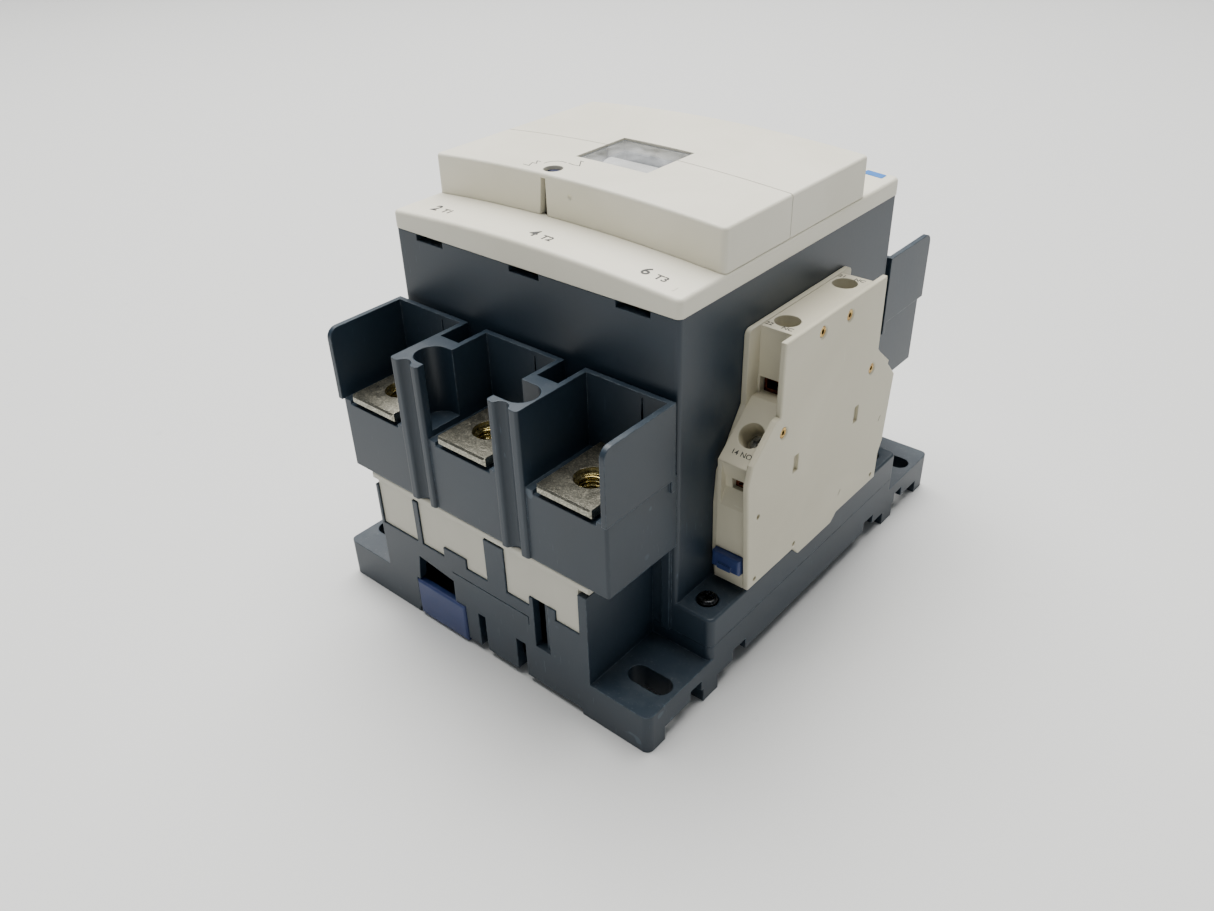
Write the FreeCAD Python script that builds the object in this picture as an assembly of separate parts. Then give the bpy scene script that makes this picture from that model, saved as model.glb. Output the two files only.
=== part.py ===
import FreeCAD, Part

import math
import os

# Three-pole power contactor with a clip-on auxiliary contact block on its right side.
# Millimetres, +Z out of the mounting surface. The origin is the centre of the base, at the
# level of its feet. X runs across the three poles, -Y is the load side and +Y the line side.

# ---- driving dimensions ----------------------------------------------------------------
BASE_HALF_X = 60.0            # half width over the mounting flanges
BASE_HALF_Y = 78.0            # half height of the base
FOOT_Z = 4.8                  # height of the feet
FLANGE_Z = 12.7               # top of the corner mounting flanges
SEAM_Z = 17.2                 # joint between base and housing
SEAM_GAP = 0.1
SKIRT_Z = 26.8                # top of the housing's side skirt
BODY_HALF_X = 48.5            # housing, across the poles
BODY_HALF_Y = 51.4            # housing, line to load
BODY_WALL = 2.4
HOUSING_Z = 110.0             # top of the housing
POLE_PITCH = 35.0
POLES = (-POLE_PITCH, 0.0, POLE_PITCH)
TRAVEL = 7.0                  # stroke of the magnet

# mounting slots
SLOT_X = 51.5
SLOT_Y = 66.5
SLOT_HALF_WIDTH = 3.25
SLOT_LENGTH = 13.5

# end boxes of the base, under the terminal blocks
BOX_HALF_X = 40.5
BOX_WALL = 2.5
CHEEK_RIGHT = 2.8
CHEEK_LEFT = 1.0
BOX_FLOOR_Z = 2.0
PANEL_Z = 28.9                # top edge of the front panel
CHEEK_Z = 42.4
TOOTH_Z = 32.2                # raised teeth of the panel edge
TEETH_X = ((-13.2, -4.2), (20.0, 29.3))
RIB_X = (-24.4, -22.4)
TAB_X = (4.2, 11.4)
RIB_Z = 43.6
FLOOR_Z = 8.0                 # top of the base floor under the magnet

# screws between base and housing, rail latch and rail seat
SCREW_X = 53.8
SCREW_Y = 44.6
SCREW_HEAD_R = 2.9
LATCH_X = (-27.5, -7.0)
LATCH_Z = (1.0, 3.6)
LATCH_GRIP_Z = 13.6
RAIL_HALF = 17.6              # half height of a 35 mm rail with its clearance

# terminal blocks and chambers of the housing
BLOCK_Z = 46.6                # underside of the blocks
LEDGE_Z = 68.6                # top of the blocks
CHAMBER_Z = 90.0              # top of the chamber walls
CHAMBER_HALF = 14.0           # half width of a chamber over its walls
CHAMBER_WALL = 1.5
END_WALL_X = 49.0
BLOCK_END_X = 48.3
WALL_FRONT = 79.0             # front of the chamber walls, distance from the centre plane
BLOCK_FRONT = 78.1
BACK_OUTER = 53.0             # back wall of the chambers, face towards the housing
BACK_INNER = 54.5
BACK_JOIN_Z = 65.0            # below this the back wall joins the housing
WEB_BACK = 63.0
WEB_FRONT = 75.5
WELL_X = {-1: 14.6, 1: 17.0}  # round end of the screw well in each web, from the middle
WELL_Y = 71.6
WELL_R = 4.8
WELL_FLOOR = 70.5
CHANNEL = (17.3, 79.4)        # round channel for a pole barrier in the front of each web
CHANNEL_R = 2.4
SLIT_OFFSET = 5.0

# terminal bars and nuts
BAR_HALF = 8.7
BAR_Z = (68.6, 71.1)
BAR_FRONT = 78.4
BOLT_Y = 67.8
BOLT_R = 4.6
RISER_Y = (44.6, 47.1)
ARM_HALF = 7.0
ARM_Z = (83.4, 86.2)
ARM_END = 22.0
TIP_Z = (86.2, 88.2)
TIP_Y = (23.5, 29.5)
NUT_FLATS = 13.0
NUT_Z = (61.6, 68.4)
NUT_BORE = 3.4                # core radius of an M8 thread

# front cover and lids
COVER_HALF_X = 48.8
COVER_HALF_Y = 51.6
COVER_Z = (110.2, 115.0)
CROWN = 2.1                   # rise of the crowned tops in the middle
APEX_X = 0.1                  # highest line of the crown
COVER_WALL = 2.2
COVER_OPEN_X = 44.0
COVER_OPEN_Y = (-31.0, 28.0)
LID_HALF_X = 48.5
LID_Y = (-34.5, 31.5)
LID_SEAM_Y = -6.3
LID_Z = (115.1, 126.2)
LID_WALL = 2.0
FLAG_Z = 120.3                 # axis of the rounded head of the flag
WINDOW_X = (-10.2, 13.6)
WINDOW_Y = (-19.0, 1.2)
PORT_X = -8.0                 # round port of the test plunger
PORT_Y = -30.2
PORT_R = 2.6
PLUNGER_TOP = 127.3           # a little below the crown of the lid
COIL_TERMINAL_X = 18.0

# magnet
CORE_HALF_X = 34.0
CORE_HALF_Y = 14.0
YOKE = 10.0
LEG = 8.0                     # half width of the centre leg
POLE_FACE_Z = 42.0
CORE_Z = 10.0
GAP = 0.2                     # air gap left when the magnet is closed

# auxiliary block
AUX_WALL_X = (48.7, 50.2)
AUX_CORE_X = (50.2, 59.4)
AUX_COVER_X = (59.75, 61.3)
AUX_TOP = 97.3
AUX_SCREW_Y = 14.2
AUX_SCREW_X = 54.2
AUX_WELL_R = 3.4
AUX_FACE = (30.07, 72.04)     # centre of the sloping terminal face: distance from middle, height
AUX_FACE_X = 55.5
AUX_FACE_WELL_R = 3.5
AUX_EYELETS = ((-8.2, 94.0), (5.5, 93.4), (22.1, 70.6), (-24.0, 72.0))
AUX_BRIDGE_Z = (65.8, 83.4)

ROOT = "parts"


# ---- helpers ---------------------------------------------------------------------------
def box(x, y, z):
    """Box between two values on each axis."""
    corner = FreeCAD.Vector(x[0], y[0], z[0])
    return Part.makeBox(x[1] - x[0], y[1] - y[0], z[1] - z[0], corner)


def flat_point(axis, a, b, level):
    """Point of a flat outline: (y, z) for axis x, (x, z) for axis y, (x, y) for axis z."""
    if axis == "x":
        return FreeCAD.Vector(level, a, b)
    if axis == "y":
        return FreeCAD.Vector(a, level, b)
    return FreeCAD.Vector(a, b, level)


def direction(axis):
    return {"x": FreeCAD.Vector(1, 0, 0), "y": FreeCAD.Vector(0, 1, 0), "z": FreeCAD.Vector(0, 0, 1)}[axis]


def prism(axis, outline, span):
    """Solid with a flat outline, between two values along its axis."""
    points = [flat_point(axis, a, b, span[0]) for a, b in outline]
    face = Part.Face(Part.makePolygon(points + points[:1]))
    return face.extrude(direction(axis) * (span[1] - span[0]))


def rod(axis, centre, radius, span):
    """Cylinder along an axis; centre is the other two coordinates."""
    start = flat_point(axis, centre[0], centre[1], span[0])
    return Part.makeCylinder(radius, span[1] - span[0], start, direction(axis))


def tube(axis, centre, outer, inner, span):
    return rod(axis, centre, outer, span).cut(rod(axis, centre, inner, span))


def hexagon(centre, flats, span):
    radius = flats / 2 / math.cos(math.pi / 6)
    turns = [math.radians(60 * i + 30) for i in range(6)]
    outline = [(centre[0] + radius * math.cos(t), centre[1] + radius * math.sin(t)) for t in turns]
    return prism("z", outline, span)


def slot(centre, half_width, length, span):
    """Round-ended slot along X, cut along Z."""
    reach = length / 2 - half_width
    ends = [rod("z", (centre[0] + s * reach, centre[1]), half_width, span) for s in (-1, 1)]
    middle = box((centre[0] - reach, centre[0] + reach),
                 (centre[1] - half_width, centre[1] + half_width), span)
    return join(middle, *ends)


def join(first, *others):
    result = first.fuse(list(others)) if others else first
    return result.removeSplitter()


def mirror(shape, axis):
    return shape.mirror(FreeCAD.Vector(0, 0, 0), direction(axis))


def both_ends(shape):
    """The shape and its mirror image across the middle plane between line and load."""
    return [shape, mirror(shape, "y")]


def runs_along(edge, axis):
    """True for a straight edge along an axis."""
    if not isinstance(edge.Curve, (Part.Line, Part.LineSegment)):
        return False
    step = edge.Vertexes[-1].Point.sub(edge.Vertexes[0].Point)
    return step.Length > 0 and abs(step.normalize().dot(direction(axis))) > 0.999


def soften(shape, radius, chosen):
    """Round the edges that the test picks by their middle point."""
    edges = [e for e in shape.Edges if chosen(e, e.CenterOfMass)]
    return shape.makeFillet(radius, edges)


def crowned(half_x, y, bottom, top, rise, bottom_rise=0.0):
    """Bar along Y whose top, and if asked its underside, is arched across X."""
    def edge(level, lift):
        ends = [FreeCAD.Vector(s * half_x, y[0], level) for s in (-1, 1)]
        if lift == 0:
            return Part.makeLine(ends[0], ends[1])
        return Part.Arc(ends[0], FreeCAD.Vector(APEX_X, y[0], level + lift), ends[1]).toShape()

    sides = [Part.makeLine(FreeCAD.Vector(s * half_x, y[0], bottom),
                           FreeCAD.Vector(s * half_x, y[0], top)) for s in (-1, 1)]
    outline = [edge(bottom, bottom_rise), sides[1], edge(top, rise), sides[0]]
    wire = Part.Wire(Part.__sortEdges__(outline))
    return Part.Face(wire).extrude(FreeCAD.Vector(0, y[1] - y[0], 0))


def spring(centre, radius, wire, span, turns):
    """Round-wire compression spring along Z."""
    length = span[1] - span[0] - 2 * wire
    path = Part.makeHelix(length / turns, length, radius)
    start = FreeCAD.Vector(radius, 0, 0)
    section = Part.Wire(Part.makeCircle(wire, start, FreeCAD.Vector(0, 1, 0)))
    coil = Part.Wire(path.Edges).makePipeShell([section], True, True)
    coil.translate(FreeCAD.Vector(centre[0], centre[1], span[0] + wire))
    return coil


# ---- base ------------------------------------------------------------------------------
def base_end():
    """Hollow box at the load end of the base, with its front panel, cheeks and teeth."""
    panel_back = -BASE_HALF_Y + BOX_WALL
    shell = box((-BOX_HALF_X, BOX_HALF_X), (-BASE_HALF_Y, -BODY_HALF_Y), (BOX_FLOOR_Z, PANEL_Z))
    right = box((BOX_HALF_X - CHEEK_RIGHT, BOX_HALF_X), (-BASE_HALF_Y, -BODY_HALF_Y), (BOX_FLOOR_Z, CHEEK_Z))
    left = box((-BOX_HALF_X, -BOX_HALF_X + CHEEK_LEFT), (-BASE_HALF_Y, -BODY_HALF_Y), (BOX_FLOOR_Z, CHEEK_Z))
    teeth = [box(x, (-BASE_HALF_Y, panel_back), (PANEL_Z - 1, TOOTH_Z)) for x in TEETH_X]
    ribs = [box(x, (-BASE_HALF_Y, panel_back), (PANEL_Z - 1, RIB_Z)) for x in (RIB_X, TAB_X)]
    shell = join(shell, right, left, *teeth, *ribs)
    room = box((-BOX_HALF_X + BOX_WALL, BOX_HALF_X - CHEEK_RIGHT),
               (panel_back, -BODY_HALF_Y - BOX_WALL), (FOOT_Z + 1.2, CHEEK_Z))
    return shell.cut(room)


def panel_windows():
    """Openings and scribed line of the load end's front panel."""
    y = (-80, -BASE_HALF_Y + BOX_WALL + 1)
    line_y = (-80, -BASE_HALF_Y + 0.3)
    rib = box((24.6, 25.6), (-BASE_HALF_Y + 1.2, y[1] + 1), (15, TOOTH_Z + 2))
    return [box((-1.6, 1.3), y, (-1, 14.3)), box((13.4, 17.1), y, (-1, 13.6)),
            box((21.3, 26.7), y, (15.3, TOOTH_Z + 1)).cut(rib),
            box((-10.4, 19.4), line_y, (24.6, 24.9)), box((19.1, 19.4), line_y, (21.8, 24.9))]


def base_foot_end():
    """Feet at the load end: one under each corner and one pair under the middle plate."""
    right = box((37.4, BASE_HALF_X), (-BASE_HALF_Y, -71), (0, FOOT_Z))
    left = box((-BASE_HALF_X, -28.6), (-BASE_HALF_Y, -71), (0, FOOT_Z))
    middle = [box((s * 54 - 6, s * 54 + 6), (-54, -47.3), (0, FOOT_Z)) for s in (-1, 1)]
    plan = box((-BASE_HALF_X, BASE_HALF_X), (-BASE_HALF_Y, BASE_HALF_Y), (0, FOOT_Z))
    plan = soften(plan, 2.2, lambda e, m: runs_along(e, "z"))
    return [foot.common(plan) for foot in [right, left] + middle]


def base():
    plate = box((-BASE_HALF_X, BASE_HALF_X), (-BASE_HALF_Y, BASE_HALF_Y), (FOOT_Z, FLANGE_Z))
    middle = box((-BASE_HALF_X, BASE_HALF_X), (-BODY_HALF_Y, BODY_HALF_Y), (FOOT_Z, SEAM_Z))
    middle = soften(middle, 2.0, lambda e, m: runs_along(e, "z"))
    feet = [f for foot in base_foot_end() for f in both_ends(foot)]
    hollow = [box((-BOX_HALF_X + 1, BOX_HALF_X - 1), (-BASE_HALF_Y + 1, -BODY_HALF_Y - 1), (0, 20)),
              box((-BOX_HALF_X + 1, BOX_HALF_X - 1), (BODY_HALF_Y + 1, BASE_HALF_Y - 1), (0, 20))]
    plate = soften(plate, 2.2, lambda e, m: runs_along(e, "z"))
    solid = join(plate.cut(hollow), middle, *feet, *both_ends(base_end()))
    pocket = box((-46, 46), (-49, 49), (FLOOR_Z, SEAM_Z + 1))
    slots = [slot((sx * SLOT_X, sy * SLOT_Y), SLOT_HALF_WIDTH, SLOT_LENGTH, (-1, FLANGE_Z + 1))
             for sx in (-1, 1) for sy in (-1, 1)]
    notches = []
    for sx in (-1, 1):
        x = (sx * 56 - 4.1, sx * 56 + 4.1)
        for y in ((55, 60), (34, 40)):
            notches.append(box(x, y, (-1, 8.4)))
            notches.append(box(x, (-y[1], -y[0]), (-1, 8.4)))
    pilots = [rod("z", (sx * SCREW_X, sy * SCREW_Y), 1.75, (9, SEAM_Z + 1))
              for sx in (-1, 1) for sy in (-1, 1)]
    latch_bay = [box((LATCH_X[0] - 0.3, LATCH_X[1] + 0.3), (-80, -14), (-1, 4.4)),
                 box((LATCH_X[0] - 0.3, LATCH_X[1] + 0.3), (-80, -73.6), (-1, LATCH_GRIP_Z + 0.4)),
                 prism("y", [(-26.6, 12.5), (-25.0, 23.4), (-10.6, 21.4), (-10.9, 12.5)], (-80, -73.6))]
    windows = [w for window in panel_windows() for w in both_ends(window)]
    solid = solid.cut([pocket] + slots + notches + pilots + latch_bay + windows)
    return join(solid, *rail_guides())



def rail_guides():
    """Fixed hooks at the line side of the rail, ledges that carry the sliding latch, and its stop."""
    hooks = []
    for x in ((-46, -30), (30, 46)):
        profile = [(RAIL_HALF, FOOT_Z), (RAIL_HALF, 3.5), (RAIL_HALF - 2.0, 3.5), (RAIL_HALF - 2.0, 2.2),
                   (RAIL_HALF, 1.0), (27, 1.0), (30, FOOT_Z)]
        hooks.append(prism("x", profile, x))
    guides = []
    for side, x in ((-1, LATCH_X[0] - 0.3), (1, LATCH_X[1] + 0.3)):
        wall = sorted((x, x + side * 2.6))
        lip = sorted((x - side * 1.6, x))
        guides.append(box(wall, (-70, -22), (0.1, FOOT_Z)))
        guides.append(box(lip, (-66, -26), (0.1, 0.8)))
    stop = box((-19.0, -16.1), (-44.4, -42.3), (1.2, FOOT_Z))
    return hooks + guides + [stop]


# ---- housing ---------------------------------------------------------------------------
def divider(side):
    """Web beside the middle pole at the load side, with its screw well and barrier channel."""
    inner, outer = CHAMBER_HALF - CHAMBER_WALL, CHAMBER_HALF + 7.0 + CHAMBER_WALL
    web = box((inner, outer), (-WALL_FRONT, -WEB_BACK), (BLOCK_Z, CHAMBER_Z))
    channel = rod("z", (CHANNEL[0], -CHANNEL[1]), CHANNEL_R, (BLOCK_Z - 1, CHAMBER_Z + 1))
    web = web.cut(channel)
    web = soften(web, 0.9, lambda e, m: runs_along(e, "z") and m.y < -WALL_FRONT + 0.1)
    depth = (WELL_FLOOR, CHAMBER_Z + 1)
    mouth = box((inner - 1, WELL_X[side]), (-WELL_Y - WELL_R, -WELL_Y + WELL_R), depth)
    web = web.cut([rod("z", (WELL_X[side], -WELL_Y), WELL_R, depth), mouth])
    return web if side > 0 else mirror(web, "x")


def block():
    """Row of three solid terminal blocks, up to the ledge that carries the bars."""
    row = box((-BLOCK_END_X, BLOCK_END_X), (-BLOCK_FRONT, -BODY_HALF_Y), (BLOCK_Z, LEDGE_Z))
    row = soften(row, 0.8, lambda e, m: runs_along(e, "z") and m.y < -BLOCK_FRONT + 0.1)
    cuts = []
    for side in (-1, 1):
        gap = sorted((side * CHAMBER_HALF, side * (CHAMBER_HALF + 7)))
        cuts.append(box(gap, (-80, -WEB_FRONT), (BLOCK_Z - 1, LEDGE_Z + 1)))
        cuts.append(box(gap, (-WEB_BACK, -BACK_OUTER), (BACK_JOIN_Z - 15, LEDGE_Z + 1)))
    for x in POLES:
        cuts.append(box((x - BAR_HALF - 1.4, x + BAR_HALF + 1.4), (-80, -BACK_INNER),
                        (LEDGE_Z - 1.2, LEDGE_Z + 1)))
        cuts.append(hexagon((x, -BOLT_Y), NUT_FLATS + 0.4, (NUT_Z[0] - 0.2, LEDGE_Z)))
        cuts.append(rod("z", (x, -BOLT_Y), BOLT_R, (NUT_Z[0] - 9, LEDGE_Z)))
    row = row.cut(cuts)
    seats = []
    for x in POLES:
        seat = box((x - 7.9, x + 7.9), (-76.4, -57.5), (LEDGE_Z - 1.2, LEDGE_Z))
        seats.append(seat.cut(hexagon((x, -BOLT_Y), NUT_FLATS + 0.4, (LEDGE_Z - 2, LEDGE_Z + 1))))
    return join(row, *seats)


def chambers():
    """Open-fronted chamber of each pole above the blocks at the load side."""
    pieces = []
    for x in POLES:
        sides = {-1: x - CHAMBER_HALF, 1: x + CHAMBER_HALF}
        for s, edge in sides.items():
            at_end = abs(edge) > BODY_HALF_X
            depth = -WALL_FRONT if at_end else -WEB_BACK - 1
            wall = box(sorted((edge, edge - s * CHAMBER_WALL)), (depth, -BACK_OUTER), (LEDGE_Z, CHAMBER_Z))
            if at_end:
                wall = soften(wall, 3.0, lambda e, m: runs_along(e, "x") and m.y < -WALL_FRONT + 0.1
                              and m.z > CHAMBER_Z - 0.1)
            pieces.append(wall)
        back = box((x - CHAMBER_HALF, x + CHAMBER_HALF), (-BACK_INNER, -BACK_OUTER), (BACK_JOIN_Z, CHAMBER_Z))
        slit = x + SLIT_OFFSET
        wedge = prism("y", [(slit - 0.15, CHAMBER_Z - 1.2), (slit + 0.15, CHAMBER_Z - 1.2),
                            (slit + 0.8, LEDGE_Z + 3.2), (slit - 0.8, LEDGE_Z + 3.2)],
                      (-BACK_INNER - 1, -BACK_OUTER + 1))
        pieces.append(back.cut(wedge))
    return pieces


def terminal_block():
    """Row of terminal chambers at the load side, flat against the wall of the housing."""
    pieces = [block()] + chambers() + [divider(-1), divider(1)]
    side = join(pieces[0], *pieces[1:])
    bars = [box((x - BAR_HALF - 0.2, x + BAR_HALF + 0.2), (-BACK_INNER - 1, -BODY_HALF_Y + 4),
                (BAR_Z[0] - 0.1, BAR_Z[1] + 0.2)) for x in POLES]
    return side.cut(bars)


def housing():
    shell = box((-BODY_HALF_X, BODY_HALF_X), (-BODY_HALF_Y, BODY_HALF_Y), (SEAM_Z + SEAM_GAP, HOUSING_Z))
    shell = soften(shell, 1.2, lambda e, m: runs_along(e, "z"))
    skirt = box((-BASE_HALF_X, BASE_HALF_X), (-BODY_HALF_Y, BODY_HALF_Y), (SEAM_Z + SEAM_GAP, SKIRT_Z))
    skirt = soften(skirt, 2.0, lambda e, m: runs_along(e, "z"))
    skirt = soften(skirt, 0.8, lambda e, m: m.z > SKIRT_Z - 0.1)
    half_x, half_y = BODY_HALF_X - BODY_WALL, BODY_HALF_Y - BODY_WALL
    room = box((-half_x, half_x), (-half_y, half_y), (0, HOUSING_Z + 1))
    shell = join(shell, skirt).cut(room)
    floor = box((-half_x - 0.5, half_x + 0.5), (-42, 42), (74, 76))
    floor = floor.cut(box((-9, 9), (-8, 8), (73, 77)))
    barriers = []
    for x in (-POLE_PITCH / 2, POLE_PITCH / 2):
        for y in ((-half_y - 0.5, -8), (8, half_y + 0.5)):
            barriers.append(box((x - 0.6, x + 0.6), y, (75, HOUSING_Z - 1)))
    rib_y = (-BODY_HALF_Y - 1.0, -BODY_HALF_Y + 0.5)
    front_ribs = [box((44.2, 46.8), rib_y, (SEAM_Z + SEAM_GAP, BLOCK_Z))]
    front_ribs.append(mirror(front_ribs[0], "x"))
    front_ribs += [mirror(rib, "y") for rib in front_ribs]
    shell = join(shell, floor, *barriers, *front_ribs)
    cuts = []
    for x in POLES:
        for s in (-1, 1):
            face = sorted((s * (half_y - 1), s * (BODY_HALF_Y + 0.4)))
            cuts.append(box((x - 5.2, x + 5.2), face, (HOUSING_Z - 1.8, HOUSING_Z + 1)))
            cuts.append(box((x - BAR_HALF - 0.2, x + BAR_HALF + 0.2), face, (BAR_Z[0] - 0.1, BAR_Z[1] + 0.2)))
    for sx in (-1, 1):
        for sy in (-1, 1):
            cuts.append(rod("z", (sx * SCREW_X, sy * SCREW_Y), 2.1, (0, SKIRT_Z + 1)))
            cuts.append(rod("z", (sx * SCREW_X, sy * SCREW_Y), SCREW_HEAD_R + 0.3,
                            (SKIRT_Z - 1.4, SKIRT_Z + 1)))
    cuts.append(box((half_x - 1, BODY_HALF_X + 1), (-3.3, 3.3), (80.6, 93.6)))
    return shell.cut(cuts)


def insulator():
    """Pale insulating floor under the blocks at the load side, with its castellated apron."""
    front, back = -77.5, -75.7
    floor = box((-41.2, 41.4), (-77.9, -52.2), (44.0, BLOCK_Z - 0.2))
    floor = soften(floor, 0.6, lambda e, m: m.y < -77.8 and runs_along(e, "x"))
    left_end, right_end = -BOX_HALF_X + CHEEK_LEFT + 0.1, BOX_HALF_X - CHEEK_RIGHT - 0.1
    gap = 0.1
    spans = [(left_end, RIB_X[0] - gap), (RIB_X[1] + gap, TAB_X[0] - gap), (TAB_X[1] + gap, right_end)]
    apron = [box(x, (front, back), (PANEL_Z + gap, 44.5)) for x in spans]
    bites = [box((x[0] - gap, x[1] + gap), (front - 1, back + 1), (PANEL_Z - 1, TOOTH_Z + gap))
             for x in TEETH_X]
    plate = join(floor, *apron).cut(bites)
    bracket = box((-34, 34), (-75.3, -73.8), (34, 44.5))
    return join(plate, bracket, box((-34, 34), (-75.8, -73.8), (43.7, 44.5)))


# ---- terminals and contacts --------------------------------------------------------------
def terminal_bar(x):
    """Tin-plated bar of one load terminal: pad, riser and contact arm with its silver tip."""
    pad = box((x - BAR_HALF, x + BAR_HALF), (-BAR_FRONT, -RISER_Y[0]), BAR_Z)
    pad = pad.makeChamfer(0.5, [e for e in pad.Edges if e.CenterOfMass.y < -BAR_FRONT + 0.1])
    pad = pad.cut(rod("z", (x, -BOLT_Y), BOLT_R, (BAR_Z[0] - 1, BAR_Z[1] + 1)))
    riser = box((x - ARM_HALF, x + ARM_HALF), (-RISER_Y[1], -RISER_Y[0]), (BAR_Z[0], ARM_Z[1]))
    arm = box((x - ARM_HALF, x + ARM_HALF), (-RISER_Y[1], -ARM_END), ARM_Z)
    tip = box((x - 4.5, x + 4.5), (-TIP_Y[1], -TIP_Y[0]), (TIP_Z[0] - 0.2, TIP_Z[1]))
    tip = soften(tip, 0.7, lambda e, m: m.z > TIP_Z[1] - 0.1)
    return join(pad, riser, arm, tip)


def terminal_nuts():
    """Captive nuts under the pads of the load terminals, with a collar up into the pad hole."""
    nuts = []
    for x in POLES:
        nut = hexagon((x, -BOLT_Y), NUT_FLATS, NUT_Z)
        collar = rod("z", (x, -BOLT_Y), BOLT_R - 0.1, (NUT_Z[1] - 0.5, BAR_Z[0] + 1.2))
        nut = join(nut, collar)
        nuts.append(nut.cut(rod("z", (x, -BOLT_Y), NUT_BORE, (NUT_Z[0] - 1, BAR_Z[1]))))
    return Part.makeCompound(nuts)


def contact_bridge(x):
    """Moving bridge of one pole, with a silver tip at each end."""
    bar = box((x - 5.2, x + 5.2), (-30, 30), (95.5, 97.3))
    bar = soften(bar, 1.5, lambda e, m: runs_along(e, "z"))
    tips = []
    for s in (-1, 1):
        tip = box((x - 4.2, x + 4.2), sorted((s * TIP_Y[0], s * TIP_Y[1])), (93.9, 95.7))
        tips.append(soften(tip, 0.7, lambda e, m: m.z < 94.0))
    return join(bar, *tips)


def arc_chute(x):
    """Two stacks of notched steel plates beside the contacts of one pole."""
    plates = []
    for level in range(4):
        z = 89.6 + 3.4 * level
        outline = [(x - 10, -43.5), (x + 10, -43.5), (x + 10, -31), (x + 5, -31), (x, -38),
                   (x - 5, -31), (x - 10, -31)]
        plates += both_ends(prism("z", outline, (z, z + 1.2)))
    return Part.makeCompound(plates)


def arc_chute_cheeks():
    """Fibre cheeks that hold the plates of every chute."""
    cheeks = []
    for x in POLES:
        for s in (-1, 1):
            wall = sorted((x + s * 10.1, x + s * 11.0))
            cheeks += both_ends(box(wall, (-44, -30.5), (88.8, 101.1)))
    return Part.makeCompound(cheeks)


# ---- magnet ------------------------------------------------------------------------------
def e_shape(yoke, legs, thickness):
    """E-shaped lamination stack: a yoke and three legs."""
    pieces = [box((-CORE_HALF_X, CORE_HALF_X), (-thickness, thickness), yoke)]
    pieces.append(box((-LEG, LEG), (-thickness, thickness), legs))
    for s in (-1, 1):
        pieces.append(box(sorted((s * (CORE_HALF_X - YOKE), s * CORE_HALF_X)), (-thickness, thickness), legs))
    return join(pieces[0], *pieces[1:])


def ring_frame(side, wall):
    outer = box(sorted((side * 25.2, side * 32.8)), (-11, 4), (POLE_FACE_Z - 1.6, POLE_FACE_Z - 0.2))
    inner = box(sorted((side * (25.2 + wall), side * (32.8 - wall))), (-11 + wall, 4 - wall), (0, 60))
    return outer.cut(inner)


def fixed_core():
    core = e_shape((CORE_Z, CORE_Z + YOKE), (CORE_Z + YOKE, POLE_FACE_Z), CORE_HALF_Y)
    grooves = []
    for s in (-1, 1):
        groove = ring_frame(s, 1.4)
        groove.translate(FreeCAD.Vector(0, 0, 0.2))
        grooves += [groove, ring_frame(s, 1.4)]
    return core.cut(grooves)


def coil_bobbin():
    tube_wall = box((-10, 10), (-16, 16), (20.4, 48.5))
    flanges = [box((-23.6, 23.6), (-29, 29), z) for z in ((20.4, 22.2), (46.7, 48.5))]
    flanges = [soften(f, 4.0, lambda e, m: runs_along(e, "z")) for f in flanges]
    hole = box((-LEG - 0.3, LEG + 0.3), (-CORE_HALF_Y - 0.3, CORE_HALF_Y + 0.3), (20, 49))
    return join(tube_wall, *flanges).cut(hole)


def coil_winding():
    outer = box((-22.4, 22.4), (-27.8, 27.8), (22.4, 46.5))
    outer = soften(outer, 6.0, lambda e, m: runs_along(e, "z"))
    return outer.cut(box((-10.2, 10.2), (-16.2, 16.2), (22, 47)))


def armature():
    legs = (POLE_FACE_Z + GAP + TRAVEL, 62.0)
    body = e_shape((62.0, 72.0), legs, CORE_HALF_Y)
    return body.cut(rod("y", (0, 67), 2.05, (-20, 20)))


def contact_carrier():
    """Insulating carrier: clamp over the armature, neck, and a beam with one window per pole."""
    straps = [box((-9, 9), sorted((s * 14.3, s * 16.6)), (60.5, 73.8)) for s in (-1, 1)]
    wings = box((-9, 9), (-28, 28), (72.2, 73.8))
    neck = box((-7, 7), (-5.5, 5.5), (73.0, 85.0))
    beam = box((-44, 44), (-6, 6), (84.0, 108.4))
    beam = soften(beam, 1.0, lambda e, m: runs_along(e, "z"))
    windows = [box((x - 6.2, x + 6.2), (-7, 7), (95.4, 106.2)) for x in POLES]
    lightening = [box((x - 4, x + 4), (-7, 7), (86.0, 106.0)) for x in (-17.5, 17.5)]
    notch = box((41.4, 45), (-2.7, 2.7), (87.6, 93.4))
    pin_hole = rod("y", (0, 67), 2.0, (-20, 20))
    return join(wings, *straps, neck, beam).cut(windows + lightening + [notch, pin_hole])


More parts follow.
